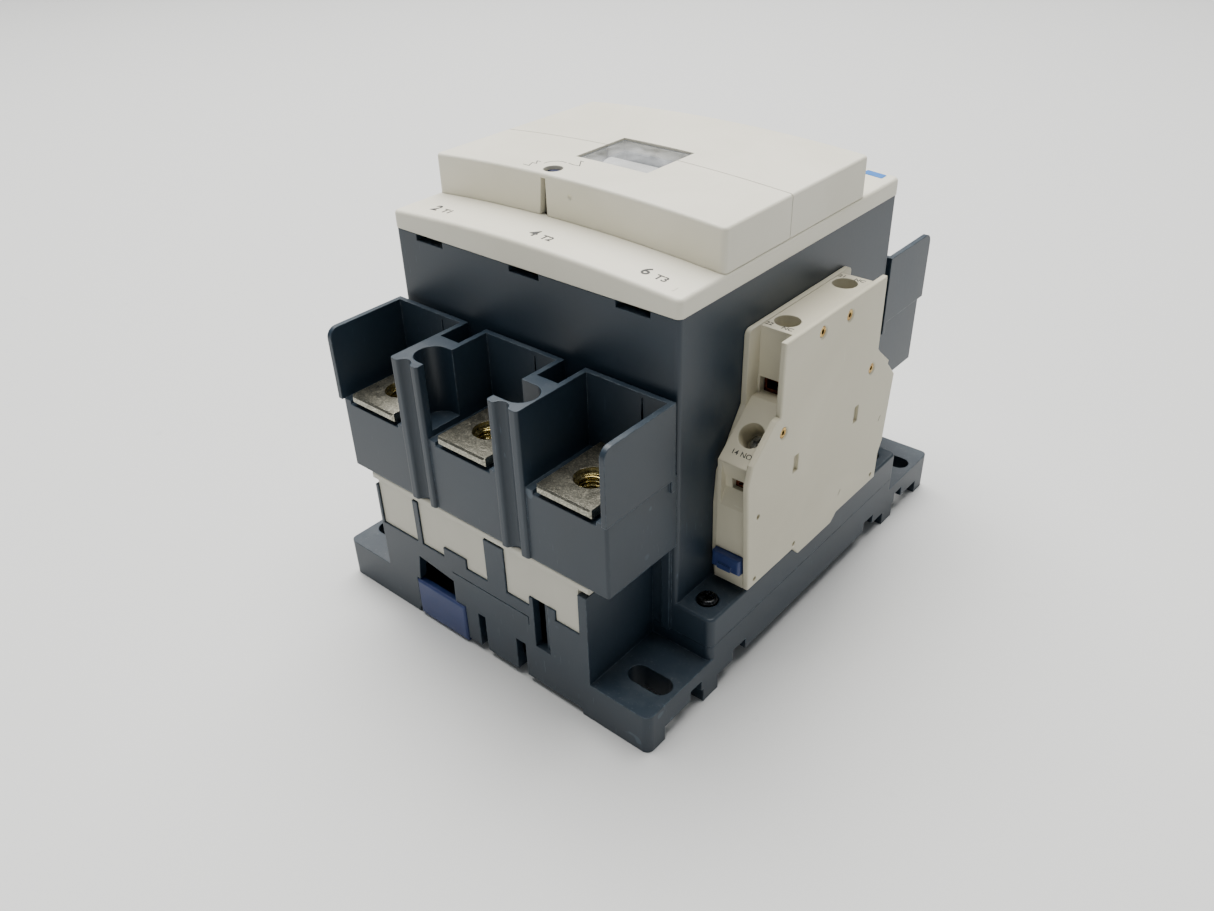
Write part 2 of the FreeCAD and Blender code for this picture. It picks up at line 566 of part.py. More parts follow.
# ---- front cover and lids ------------------------------------------------------------------
def front_cover():
    """Crowned frame round the lids, with clip tongues, and wells for the coil terminals."""
    y = (-COVER_HALF_Y, COVER_HALF_Y)
    body = crowned(COVER_HALF_X, y, COVER_Z[0], COVER_Z[1], CROWN)
    body = soften(body, 1.6, lambda e, m: runs_along(e, "z"))
    body = soften(body, 1.1, lambda e, m: m.z > COVER_Z[1] - 1.0 and not runs_along(e, "z"))
    inner_y = (y[0] + COVER_WALL, y[1] - COVER_WALL)
    room = crowned(COVER_HALF_X - COVER_WALL, inner_y, COVER_Z[0] - 1, COVER_Z[1] - COVER_WALL, CROWN)
    body = body.cut(room)
    bosses, wells = [], []
    for s in (-1, 1):
        x = s * COIL_TERMINAL_X
        bosses.append(box((x - 7, x + 7), (36.5, COVER_HALF_Y - 1), (COVER_Z[0], COVER_Z[1] + 0.8)))
        wells.append(box((x - 5.2, x + 5.2), (38.5, COVER_HALF_Y + 1), (COVER_Z[0] + 1.2, COVER_Z[1] + 5)))
    opening = box((-COVER_OPEN_X, COVER_OPEN_X), COVER_OPEN_Y, (COVER_Z[0] - 1, COVER_Z[1] + 5))
    tongues = []
    for x in POLES:
        tongues += both_ends(box((x + 5.6, x + 9.6), (-48.9, -46.9), (104.5, COVER_Z[1] + 0.4)))
    body = join(body, *bosses, *tongues)
    port = rod("z", (PORT_X, PORT_Y), PORT_R + 0.6, (COVER_Z[0] - 1, COVER_Z[1] + 5))
    return body.cut([opening, port] + wells)


def lid(y):
    """Half of the raised lid, open underneath, with its window cut-out."""
    body = crowned(LID_HALF_X, y, LID_Z[0], LID_Z[1], CROWN, CROWN)
    outer_y = LID_Y[0] if y[0] == LID_Y[0] else LID_Y[1]
    at_outer = lambda m: abs(m.y - outer_y) < 0.1
    body = soften(body, 1.4, lambda e, m: runs_along(e, "z") and at_outer(m))
    seam_y = y[1] if outer_y == LID_Y[0] else y[0]
    body = soften(body, 0.9, lambda e, m: m.z > LID_Z[1] - 1.0 and not runs_along(e, "z")
                  and abs(m.y - seam_y) > 0.1)
    inner_y = [y[0], y[1]]
    inner_y[0 if outer_y == LID_Y[0] else 1] -= math.copysign(LID_WALL, outer_y)
    inner_y[1 if outer_y == LID_Y[0] else 0] -= math.copysign(1.2, -outer_y)
    room = crowned(LID_HALF_X - LID_WALL, sorted(inner_y), LID_Z[0] - 1, LID_Z[1] - LID_WALL, CROWN, CROWN)
    window = box(WINDOW_X, WINDOW_Y, (LID_Z[0] - 1, LID_Z[1] + 5))
    frame_y = (max(y[0], WINDOW_Y[0] - 1.2), min(y[1], WINDOW_Y[1] + 1.2))
    frame = box((WINDOW_X[0] - 1.2, WINDOW_X[1] + 1.2), frame_y, (LID_Z[1] - 5.0, LID_Z[1] + CROWN - 1.2))
    return join(body.cut(room), frame).cut(window)


def lid_front():
    body = lid((LID_Y[0], LID_SEAM_Y - 0.1))
    post = rod("z", (PORT_X, PORT_Y), PORT_R + 1.2, (LID_Z[1] - 6, LID_Z[1] + 1))
    port = rod("z", (PORT_X, PORT_Y), PORT_R, (LID_Z[1] - 9, LID_Z[1] + 5))
    slit_outline = [(-9.7, LID_Z[0] - 1), (-8.5, LID_Z[1] + 0.8), (-7.0, LID_Z[1] + 0.8),
                    (-6.9, LID_Z[0] - 1)]
    slit = prism("y", slit_outline, (LID_Y[0] - 1, LID_Y[0] + LID_WALL + 0.2))
    dimple = Part.makeSphere(0.9, FreeCAD.Vector(1.2, LID_Y[0] - 0.5, 123.8))
    return join(body, post).cut([port, slit, dimple])


def lid_rear():
    return lid((LID_SEAM_Y + 0.1, LID_Y[1]))


def indicator_window():
    """Clear pane that sits just below the top of the lids."""
    pane = box((WINDOW_X[0] + 0.1, WINDOW_X[1] - 0.1), (WINDOW_Y[0] + 0.1, WINDOW_Y[1] - 0.1),
               (LID_Z[1] + 0.1, LID_Z[1] + 1.4))
    return soften(pane, 0.4, lambda e, m: runs_along(e, "z"))


def indicator_well():
    """Grey-blue tray under the window, with an opening for the flag."""
    x = (WINDOW_X[0] + 0.1, WINDOW_X[1] - 0.1)
    y = (WINDOW_Y[0] + 0.1, WINDOW_Y[1] - 0.1)
    tray = box(x, y, (116.0, 124.8))
    room = box((x[0] + 1, x[1] - 1), (y[0] + 1, y[1] - 1), (117.2, 126))
    flag = box((-8.0, 11.4), (-14.6, -3.2), (115, 118))
    return tray.cut([room, flag])


def indicator_flag():
    """White flag that rises behind the window, on a stem down to the carrier."""
    stem = box((-2, 5), (-11, -4), (108.4, FLAG_Z + 0.4))
    head = rod("x", (-8.9, FLAG_Z), 5.4, (-7.6, 11.0))
    head = head.cut(box((-9, 12), (-20, 3), (FLAG_Z - 8, FLAG_Z - 0.2)))
    return join(stem, head)


def test_plunger():
    """Plunger under the round port, on an arm from the carrier."""
    pin = rod("z", (PORT_X, PORT_Y), PORT_R - 0.3, (108.6, PLUNGER_TOP))
    groove = (PLUNGER_TOP - 1, PLUNGER_TOP + 1)
    pin = pin.cut(box((PORT_X - 3, PORT_X + 3), (PORT_Y - 0.4, PORT_Y + 0.4), groove))
    arm = box((PORT_X - 2, PORT_X + 2), (PORT_Y, 5.0), (108.5, 110.4))
    return join(pin, arm)


# ---- rail latch, screws --------------------------------------------------------------------
def rail_latch():
    plate = box(LATCH_X, (-77.6, -17.2), LATCH_Z)
    hook = [(-17.3, LATCH_Z[0]), (-17.3, 3.3), (-15.4, 3.3), (-15.4, 2.4), (-16.6, LATCH_Z[0])]
    nose = prism("x", hook, LATCH_X)
    grip = box(LATCH_X, (-78.5, -76.3), (0.6, LATCH_GRIP_Z))
    grip = soften(grip, 0.8, lambda e, m: m.y < -78.4)
    slot_cut = box((-19.4, -15.7), (-56, -30), (0, 5))
    return join(plate, nose, grip).cut(slot_cut)


def pan_screw(head_r, head, shank_r, shank):
    """Cross-recess screw along Z: the head's underside is at z = 0 and the shank hangs below."""
    top = rod("z", (0, 0), head_r, (0, head))
    top = soften(top, head * 0.42, lambda e, m: m.z > head - 0.01)
    cross = [box((-head_r * 0.62, head_r * 0.62), (-0.35, 0.35), (head * 0.3, head + 1)),
             box((-0.35, 0.35), (-head_r * 0.62, head_r * 0.62), (head * 0.3, head + 1))]
    return join(top, rod("z", (0, 0), shank_r, (-shank, 0.1))).cut(cross)


def placed(shape, position, tilt=0.0):
    """Copy of a piece, tilted about X and moved into place."""
    copy = shape.copy()
    copy.rotate(FreeCAD.Vector(0, 0, 0), FreeCAD.Vector(1, 0, 0), tilt)
    copy.translate(FreeCAD.Vector(*position))
    return copy


def housing_screws():
    screw = pan_screw(SCREW_HEAD_R, 2.5, 1.7, 14.0)
    spots = [(sx * SCREW_X, sy * SCREW_Y, SKIRT_Z - 1.3) for sx in (-1, 1) for sy in (-1, 1)]
    return Part.makeCompound([placed(screw, spot) for spot in spots])


def coil_terminal_screws():
    screw = pan_screw(3.2, 1.9, 1.6, 1.0)
    spots = [(s * COIL_TERMINAL_X, 44.2, COVER_Z[0] + 3.9) for s in (-1, 1)]
    return Part.makeCompound([placed(screw, spot) for spot in spots])


def coil_terminal_clamps():
    z = (COVER_Z[0] + 1.3, COVER_Z[0] + 3.8)
    clamps = []
    for s in (-1, 1):
        x = s * COIL_TERMINAL_X
        clamp = box((x - 4.6, x + 4.6), (39.2, 49.6), z)
        clamp = clamp.cut(box((x - 4.6, x + 4.6), (40.8, 50), (z[0] + 0.8, z[1] - 1.1)))
        clamps.append(clamp.cut(rod("z", (x, 44.2), 1.65, (z[0] + 1, z[1] + 1))))
    return Part.makeCompound(clamps)


# ---- auxiliary block -----------------------------------------------------------------------
def symmetric(half_outline):
    """Outline from its half on the load side, listed from top to bottom."""
    return half_outline + [(-y, z) for y, z in reversed(half_outline)]


def aux_axis(side):
    """Direction out of the sloping terminal face at one end, and the tilt about X that gives it."""
    tilt = side * -40.6
    turn = math.radians(tilt)
    return FreeCAD.Vector(0, -math.sin(turn), math.cos(turn)), tilt


def aux_body():
    wall = symmetric([(-25.0, 97.6), (-25.2, 76.8), (-35.2, 61.5), (-36.0, 52.0), (-35.6, 36.0),
                      (-34.4, 27.0)])
    core = symmetric([(-20.0, AUX_TOP), (-20.0, 78.4), (-22.4, 78.4), (-36.8, 66.4), (-36.6, 52.6),
                      (-36.4, 28.2)])
    wall_solid = prism("x", wall, AUX_WALL_X)
    wall_solid = soften(wall_solid, 1.6, lambda e, m: runs_along(e, "x") and m.z > 90)
    body = join(wall_solid, prism("x", core, AUX_CORE_X))
    x_open = (AUX_CORE_X[0] + 1.2, AUX_CORE_X[1] + 1)
    cuts = [box(AUX_CORE_X, (-8.6, 8.6), (30.0, 95.6))]
    cuts[0].translate(FreeCAD.Vector(0.2, 0, 0))
    for s in (-1, 1):
        funnel = [(s * 40, 66.0), (s * 36.75, 66.0), (s * 35.0, 61.2), (s * 34.6, 57.7), (s * 36.7, 52.6),
                  (s * 40, 52.6)]
        cuts.append(prism("x", funnel, x_open))
        cuts.append(box((53.6, AUX_CORE_X[1] + 1), sorted((s * 35.4, s * 26.2)), (57.8, 61.0)))
        cuts.append(box((50.8, 58.2), sorted((s * 21.0, s * 12.4)), (78.4, 83.3)))
        cuts.append(rod("z", (AUX_SCREW_X, s * AUX_SCREW_Y), AUX_WELL_R, (85.7, AUX_TOP + 1)))
        bar = sorted((s * 5.0, s * 18.2))
        cuts.append(box((53.0, 57.0), bar, (84.5, 85.7)))
        cuts.append(box((53.0, 57.0), sorted((s * 5.0, s * 25.9)), (57.4, 58.6)))
        axis, tilt = aux_axis(s)
        well = join(rod("z", (0, 0), AUX_FACE_WELL_R, (-7.3, 4)), rod("z", (0, 0), 1.7, (-10.6, -7)))
        cuts.append(placed(well, (AUX_FACE_X, s * AUX_FACE[0], AUX_FACE[1]), tilt))
        cuts.append(box((AUX_CORE_X[0] + 0.1, AUX_CORE_X[1] + 1), sorted((s * 39, s * 29)), (33.0, 38.6)))
    cuts.append(box((AUX_WALL_X[0] - 1, AUX_WALL_X[1] + 1), (-3.3, 3.3), (80.6, 93.6)))
    body = body.cut(cuts)
    holes = [rod("x", spot, 1.05, (AUX_CORE_X[1] - 4, AUX_CORE_X[1] + 1)) for spot in AUX_EYELETS]
    return body.cut(holes)


def aux_cover():
    """Outer cover plate of the auxiliary block, hooked over the edge of the housing skirt."""
    outline = [(-26.0, 97.9), (-26.0, 77.3), (-28.4, 77.3), (-37.8, 68.9), (-39.4, 63.5), (-36.6, 28.4),
               (-13.8, 28.4), (-12.8, 27.2), (-10.6, 24.8), (7.4, 24.8), (10.4, 27.2), (33.8, 27.2),
               (34.1, 36.2), (35.8, 39.8), (37.8, 62.3), (25.0, 75.6), (24.8, 97.6)]
    plate = prism("x", outline, AUX_COVER_X)
    plate = soften(plate, 0.5, lambda e, m: m.x > AUX_COVER_X[1] - 0.01)
    cuts = [box((AUX_COVER_X[0] - 1, BASE_HALF_X + 0.2), (-20, 20), (20, SKIRT_Z + 0.2))]
    for y, z in AUX_EYELETS:
        sink = Part.makeCone(1.5, 2.1, 0.5, FreeCAD.Vector(AUX_COVER_X[1] - 0.4, y, z), direction("x"))
        cuts += [rod("x", (y, z), 1.5, (AUX_COVER_X[0] - 1, AUX_COVER_X[1] + 1)), sink]
    for y, z in ((-16.6, 59.0), (15.4, 58.8)):
        cuts.append(box((AUX_COVER_X[1] - 1.0, AUX_COVER_X[1] + 1), (y - 1.3, y + 1.3), (z - 2.7, z + 2.7)))
    for y, z in ((-33.8, 51.4), (-13.8, 30.4), (-33.6, 30.7), (30.5, 30.0)):
        cuts.append(rod("x", (y, z), 0.75, (AUX_COVER_X[1] - 0.8, AUX_COVER_X[1] + 1)))
    for y, z in ((31.4, 49.8), (10.7, 34.3)):
        slit = [(y - 0.75, z - 0.8), (y - 0.35, z - 0.8), (y + 0.75, z + 0.8), (y + 0.35, z + 0.8)]
        cuts.append(prism("x", slit, (AUX_COVER_X[1] - 0.8, AUX_COVER_X[1] + 1)))
    return plate.cut(cuts)


def aux_eyelets():
    x = (AUX_CORE_X[1] - 3.8, AUX_COVER_X[1] - 0.3)
    pieces = []
    for spot in AUX_EYELETS:
        sleeve = rod("x", spot, 1.0, (x[0], AUX_COVER_X[0]))
        head = rod("x", spot, 1.45, (AUX_CORE_X[1] + 0.1, x[1]))
        pieces.append(join(sleeve, head).cut(rod("x", spot, 0.65, (x[0] - 1, x[1] + 1))))
    return Part.makeCompound(pieces)


def aux_screws():
    screw = pan_screw(2.6, 1.7, 1.5, 3.2)
    pieces = []
    for s in (-1, 1):
        pieces.append(placed(screw, (AUX_SCREW_X, s * AUX_SCREW_Y, 89.2)))
        axis, tilt = aux_axis(s)
        seat = FreeCAD.Vector(AUX_FACE_X, s * AUX_FACE[0], AUX_FACE[1]) - axis * 7.2
        pieces.append(placed(screw, tuple(seat), tilt))
    return Part.makeCompound(pieces)


def aux_clamps():
    """Wire clamps behind the entry windows."""
    pieces = []
    for s in (-1, 1):
        upper = box((51.2, 57.8), sorted((s * 13.0, s * 18.4)), (78.5, 83.1))
        pieces.append(upper.cut(box((52.0, 57.0), (-30, 30), (79.5, 82.0))))
        lower = box((53.8, AUX_CORE_X[1] - 0.1), sorted((s * 26.4, s * 33.4)), (57.95, 60.85))
        pieces.append(lower.cut([box((54.6, 58.5), (-40, 40), z) for z in ((58.6, 59.2), (59.6, 60.2))]))
    return Part.makeCompound(pieces)


def aux_fixed_contacts():
    pieces = []
    for s in (-1, 1):
        pieces.append(box((53.1, 56.9), sorted((s * 5.4, s * 18.1)), (84.6, 85.6)))
        pieces.append(box((53.1, 56.9), sorted((s * 5.4, s * 25.8)), (57.5, 58.5)))
    return Part.makeCompound(pieces)


def aux_slider():
    """Sliding carrier of the auxiliary contacts, with the finger that the main carrier drives."""
    body = box((52.4, 57.6), (-3.8, 3.8), (45.0, 93.2))
    finger = box((41.8, 53.0), (-2.4, 2.4), (87.9, 93.1))
    windows = [box((53.3, 56.7), (-4, 4), (z - 0.1, z + 1.1)) for z in AUX_BRIDGE_Z]
    return join(body, finger).cut(windows)


def aux_bridges():
    return Part.makeCompound([box((53.4, 56.6), (-8.2, 8.2), (z, z + 1.0)) for z in AUX_BRIDGE_Z])


def aux_latch():
    """Blue release slide at the foot of the load end."""
    grip = box((AUX_CORE_X[0] + 0.3, AUX_CORE_X[1] - 0.1), (-38.6, -35.0), (33.3, 38.3))
    grip = soften(grip, 0.7, lambda e, m: m.y < -38.5)
    tail = box((52.0, 58.0), (-35.5, -29.6), (34.4, 37.2))
    step = box((AUX_CORE_X[0] + 2.5, AUX_CORE_X[1] - 2.5), (-39.2, -38.0), (33.9, 35.4))
    return join(grip, tail, step)


# ---- all nodes -----------------------------------------------------------------------------
def nodes():
    """Every sub-part by name."""
    parts = {
        "base": base(),
        "housing": housing(),
        "terminal_block_load": terminal_block(),
        "terminal_block_line": mirror(terminal_block(), "y"),
        "insulator_load": insulator(),
        "insulator_line": mirror(insulator(), "y"),
        "front_cover": front_cover(),
        "lid_front": lid_front(),
        "lid_rear": lid_rear(),
        "indicator_window": indicator_window(),
        "indicator_well": indicator_well(),
        "indicator_flag": indicator_flag(),
        "test_plunger": test_plunger(),
        "fixed_core": fixed_core(),
        "shading_rings": Part.makeCompound([ring_frame(s, 1.4) for s in (-1, 1)]),
        "core_pads": Part.makeCompound([box((x - 4, x + 4), (y - 4, y + 4), (FLOOR_Z, CORE_Z))
                                        for x in (-28, 28) for y in (-9, 9)]),
        "coil_bobbin": coil_bobbin(),
        "coil_winding": coil_winding(),
        "coil_terminal_clamps": coil_terminal_clamps(),
        "coil_terminal_screws": coil_terminal_screws(),
        "armature": armature(),
        "armature_pin": rod("y", (0, 67), 2.0, (-16.6, 16.6)),
        "contact_carrier": contact_carrier(),
        "return_springs": Part.makeCompound([spring((0, s * 23), 3.6, 0.6, (48.6, 72.1), 7)
                                             for s in (-1, 1)]),
        "arc_chute_cheeks": arc_chute_cheeks(),
        "terminal_nuts_load": terminal_nuts(),
        "terminal_nuts_line": mirror(terminal_nuts(), "y"),
        "rail_latch": rail_latch(),
        "housing_screws": housing_screws(),
        "aux_body": aux_body(),
        "aux_cover": aux_cover(),
        "aux_eyelets": aux_eyelets(),
        "aux_screws": aux_screws(),
        "aux_clamps": aux_clamps(),
        "aux_fixed_contacts": aux_fixed_contacts(),
        "aux_slider": aux_slider(),
        "aux_bridges": aux_bridges(),
        "aux_spring": spring((55, 0), 2.8, 0.45, (30.2, 44.9), 6),
        "aux_latch": aux_latch(),
    }
    for number, x in enumerate(POLES, start=1):
        parts[f"terminal_bar_load_{number}"] = terminal_bar(x)
        parts[f"terminal_bar_line_{number}"] = mirror(terminal_bar(x), "y")
        parts[f"contact_bridge_{number}"] = contact_bridge(x)
        parts[f"contact_spring_{number}"] = spring((x, 0), 3.4, 0.5, (97.4, 106.1), 5)
        parts[f"arc_chute_{number}"] = arc_chute(x)
    return parts


def main():
    os.makedirs(ROOT, exist_ok=True)
    for name, shape in nodes().items():
        if not shape.isValid():
            print("invalid", name)
        shape.exportStep(f"{ROOT}/{name}.step")
        bounds = shape.BoundBox
        print(f"{name:24s} solids {len(shape.Solids)}  volume {shape.Volume:10.1f}  "
              f"x {bounds.XMin:6.1f} {bounds.XMax:6.1f}  y {bounds.YMin:6.1f} {bounds.YMax:6.1f}  "
              f"z {bounds.ZMin:6.1f} {bounds.ZMax:6.1f}")


main()
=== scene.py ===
import logging
import math
from dataclasses import dataclass, field
from enum import Enum

import bmesh
import bpy
from mathutils import Matrix, Vector


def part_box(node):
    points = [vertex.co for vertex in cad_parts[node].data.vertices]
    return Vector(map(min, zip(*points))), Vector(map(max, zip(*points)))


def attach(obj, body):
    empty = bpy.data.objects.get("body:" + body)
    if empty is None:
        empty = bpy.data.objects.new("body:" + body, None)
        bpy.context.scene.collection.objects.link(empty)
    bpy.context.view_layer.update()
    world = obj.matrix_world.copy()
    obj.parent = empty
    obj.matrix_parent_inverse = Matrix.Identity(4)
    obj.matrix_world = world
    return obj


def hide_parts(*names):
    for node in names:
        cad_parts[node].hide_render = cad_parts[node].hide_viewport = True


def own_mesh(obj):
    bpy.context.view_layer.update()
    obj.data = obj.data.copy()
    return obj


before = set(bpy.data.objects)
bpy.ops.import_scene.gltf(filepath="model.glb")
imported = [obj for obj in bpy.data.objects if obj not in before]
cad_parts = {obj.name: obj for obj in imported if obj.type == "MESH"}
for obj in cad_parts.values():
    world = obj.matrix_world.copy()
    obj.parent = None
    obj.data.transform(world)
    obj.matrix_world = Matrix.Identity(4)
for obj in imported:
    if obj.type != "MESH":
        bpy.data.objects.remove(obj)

# Looks of a three-pole power contactor with a clip-on auxiliary block. Metres, +Z out of the
# mounting surface, -Y the load side, +X towards the auxiliary block.
# Numbers with MM are millimetres made into metres.

logging.basicConfig(level=logging.INFO, format="%(levelname)s %(message)s")
LOG = logging.getLogger("contactor")
MM = 0.001
POLES = (-35.0 * MM, 0.0, 35.0 * MM)
TERMINAL_Y = 67.8 * MM
CARRIER_STROKE = 7.2 * MM
BRIDGE_LIFT = 1.5 * MM
Colour = tuple[float, float, float]
Point = tuple[float, float, float]


class FinishName(Enum):
    """Every finish on the contactor and its stage."""

    SLATE = "slate_moulding"
    COVER = "cream_cover"
    STRIP = "cream_strip"
    AUX = "cream_aux"
    WINDOW = "clear_window"
    WELL = "grey_well"
    FLAG = "white_flag"
    NAVY = "navy_plunger"
    BLUE = "blue_slide"
    LAMINATED = "laminated_steel"
    WINDING = "enamelled_winding"
    COPPER = "bare_copper"
    AGED_COPPER = "aged_copper"
    RUBBER = "black_rubber"
    BOBBIN = "bobbin_nylon"
    ZINC = "bright_zinc"
    DARK_SCREW = "blackened_screw"
    YELLOW = "yellow_zinc"
    TIN = "speckled_tin"
    SILVERED = "silvered_copper"
    CHUTE = "chute_steel"
    FIBRE = "fibre_board"
    CARRIER = "brown_phenolic"
    SPRING = "spring_wire"
    BRASS = "turned_brass"
    SLIDER = "black_slider"
    INK = "grey_ink"
    PATCH = "blue_patch"
    # painted shade of the gap round the window pane
    RIM = "window_gap_shade"
    FLOOR = "stage_floor"


class Body(Enum):
    """Bodies that the added pieces ride on."""

    FRAME = "frame"
    CARRIER = "carrier"


def linear(r: int, g: int, b: int) -> Colour:
    """Linear colour of a display colour.

    Args:
        r: Red, 0 to 255.
        g: Green, 0 to 255.
        b: Blue, 0 to 255.

    Returns:
        The three linear parts.
    """
    parts = []
    for value in (r, g, b):
        v = value / 255
        parts.append(v / 12.92 if v <= 0.04045 else ((v + 0.055) / 1.055) ** 2.4)
    return parts[0], parts[1], parts[2]


# ---- shader building ---------------------------------------------------------------------
class ShaderPen:
    """Places and joins the nodes of one shader tree."""

    def __init__(self, tree: bpy.types.NodeTree) -> None:
        """Start on a tree.

        Args:
            tree: Material tree or group tree to write in.
        """
        self.tree = tree

    def node(self, kind: str, **values: object) -> bpy.types.Node:
        """Add a node.

        Args:
            kind: Blender's type name of the node.
            **values: Node settings; a value for an input starts with in_.

        Returns:
            The new node.
        """
        made = self.tree.nodes.new(kind)
        for key, value in values.items():
            if key.startswith("in_"):
                name = key[3:]
                made.inputs[name.replace("_", " ")].default_value = value
            else:
                setattr(made, key, value)
        return made

    def join(self, source: bpy.types.NodeSocket, target: bpy.types.NodeSocket) -> None:
        """Link two sockets."""
        self.tree.links.new(source, target)

    def math(self, how: str, a: object, b: object = None, clamp: bool = False) -> bpy.types.NodeSocket:
        """Arithmetic on values.

        Args:
            how: Name of the operation.
            a: First socket or number.
            b: Second socket or number, if the operation has one.
            clamp: Keep the result between 0 and 1.

        Returns:
            The result's socket.
        """
        made = self.node("ShaderNodeMath", operation=how, use_clamp=clamp)
        for slot, value in enumerate((a, b)):
            if isinstance(value, bpy.types.NodeSocket):
                self.join(value, made.inputs[slot])
            elif value is not None:
                made.inputs[slot].default_value = value
        return made.outputs[0]

    def blend(self, share: object, a: object, b: object) -> bpy.types.NodeSocket:
        """Mix of two colours.

        Args:
            share: Socket or number, 0 gives a and 1 gives b.
            a: First colour or socket.
            b: Second colour or socket.

        Returns:
            The mixed colour's socket.
        """
        made = self.node("ShaderNodeMix", data_type="RGBA")
        for slot, value in ((0, share), (6, a), (7, b)):
            if isinstance(value, bpy.types.NodeSocket):
                self.join(value, made.inputs[slot])
            elif slot == 0:
                made.inputs[0].default_value = value
            else:
                made.inputs[slot].default_value = (*value, 1.0)
        return made.outputs[2]

    def ramp(self, value: bpy.types.NodeSocket, low: float, high: float) -> bpy.types.NodeSocket:
        """Smooth step of a value from low to high, as 0 to 1."""
        made = self.node("ShaderNodeMapRange", interpolation_type="SMOOTHSTEP")
        self.join(value, made.inputs["Value"])
        made.inputs["From Min"].default_value = low
        made.inputs["From Max"].default_value = high
        return made.outputs[0]

    def noise(self, place: bpy.types.NodeSocket, scale: float, detail: float = 2.0,
              roughness: float = 0.5) -> bpy.types.NodeSocket:
        """Noise over the surface, about 0 to 1.

        Args:
            place: Coordinates to read.
            scale: Cells per metre.
            detail: Octaves.
            roughness: Share of each finer octave.

        Returns:
            The noise value's socket.
        """
        made = self.node("ShaderNodeTexNoise", in_Scale=scale, in_Detail=detail, in_Roughness=roughness)
        self.join(place, made.inputs["Vector"])
        return made.outputs["Fac"]


class SharedEffects:
    """Node groups that several finishes place with their own values."""

    def __init__(self) -> None:
        """Build every group once."""
        self.grain = self._grain()
        self.relief = self._relief()
        self.dust = self._dust()
        self.hairlines = self._hairlines()
        self.speckle = self._speckle()

    @staticmethod
    def _group(name: str, inputs: dict[str, float], outputs: dict[str, str]) -> tuple[
            bpy.types.NodeTree, ShaderPen, bpy.types.Node, bpy.types.Node]:
        """Open a group with its sockets.

        Args:
            name: Name of the group.
            inputs: Input names with their default values.
            outputs: Output names with their socket types.

        Returns:
            The tree, a pen on it, the group's input node and its output node.
        """
        tree = bpy.data.node_groups.new(name, "ShaderNodeTree")
        for key, value in inputs.items():
            socket = tree.interface.new_socket(name=key, in_out="INPUT", socket_type="NodeSocketFloat")
            socket.default_value = value
        for key, kind in outputs.items():
            tree.interface.new_socket(name=key, in_out="OUTPUT", socket_type=kind)
        pen = ShaderPen(tree)
        return tree, pen, pen.node("NodeGroupInput"), pen.node("NodeGroupOutput")

    def _grain(self) -> bpy.types.NodeTree:
        """Fine spark-eroded grain of a mould, with slow drift of colour and gloss."""
        tree, pen, given, put = self._group(
            "mould_grain", {"Grain per metre": 1500.0, "Drift per metre": 22.0},
            {"Height": "NodeSocketFloat", "Drift": "NodeSocketFloat", "Gloss": "NodeSocketFloat"})
        place = pen.node("ShaderNodeTexCoord").outputs["Object"]
        fine = pen.node("ShaderNodeTexNoise", in_Detail=3.0, in_Roughness=0.62)
        pen.join(place, fine.inputs["Vector"])
        pen.join(given.outputs["Grain per metre"], fine.inputs["Scale"])
        slow = pen.node("ShaderNodeTexNoise", in_Detail=4.0, in_Roughness=0.55, in_Distortion=0.6)
        pen.join(place, slow.inputs["Vector"])
        pen.join(given.outputs["Drift per metre"], slow.inputs["Scale"])
        pen.join(fine.outputs["Fac"], put.inputs["Height"])
        pen.join(pen.ramp(slow.outputs["Fac"], 0.3, 0.7), put.inputs["Drift"])
        both = pen.math("MULTIPLY", slow.outputs["Fac"], 0.6)
        pen.join(pen.math("ADD", both, pen.math("MULTIPLY", fine.outputs["Fac"], 0.4)), put.inputs["Gloss"])
        return tree

    def _relief(self) -> bpy.types.NodeTree:
        """Small rounding of edges, and a mask of where handling polishes them; the finishes paint these edges
        lighter, partly as wear and partly as a painted edge highlight.
        """
        tree, pen, given, put = self._group(
            "edge_relief", {"Radius": 0.0004, "Wear": 1.0},
            {"Normal": "NodeSocketVector", "Mask": "NodeSocketFloat"})
        rounded = pen.node("ShaderNodeBevel", samples=4)
        pen.join(given.outputs["Radius"], rounded.inputs["Radius"])
        plain = pen.node("ShaderNodeNewGeometry")
        turn = pen.node("ShaderNodeVectorMath", operation="DOT_PRODUCT")
        pen.join(rounded.outputs["Normal"], turn.inputs[0])
        pen.join(plain.outputs["Normal"], turn.inputs[1])
        edge = pen.ramp(pen.math("SUBTRACT", 1.0, turn.outputs["Value"]), 0.012, 0.16)
        place = pen.node("ShaderNodeTexCoord").outputs["Object"]
        broken = pen.ramp(pen.noise(place, 420.0, 3.0, 0.6), 0.36, 0.66)
        mask = pen.math("MULTIPLY", pen.math("MULTIPLY", edge, broken), given.outputs["Wear"], clamp=True)
        pen.join(rounded.outputs["Normal"], put.inputs["Normal"])
        pen.join(mask, put.inputs["Mask"])
        return tree

    def _dust(self) -> bpy.types.NodeTree:
        """Thin dust on faces that look up when the contactor lies on its base."""
        tree, pen, given, put = self._group("settled_dust", {"Amount": 0.3}, {"Mask": "NodeSocketFloat"})
        where = pen.node("ShaderNodeTexCoord")
        parts = pen.node("ShaderNodeSeparateXYZ")
        pen.join(where.outputs["Normal"], parts.inputs[0])
        up = pen.ramp(parts.outputs["Z"], 0.55, 1.0)
        patchy = pen.ramp(pen.noise(where.outputs["Object"], 95.0, 5.0, 0.66), 0.38, 0.75)
        specks = pen.ramp(pen.noise(where.outputs["Object"], 1300.0, 1.0, 0.4), 0.66, 0.78)
        spread = pen.math("ADD", pen.math("MULTIPLY", patchy, 0.55), pen.math("MULTIPLY", specks, 0.6))
        mask = pen.math("MULTIPLY", pen.math("MULTIPLY", spread, up), given.outputs["Amount"], clamp=True)
        pen.join(mask, put.inputs["Mask"])
        return tree

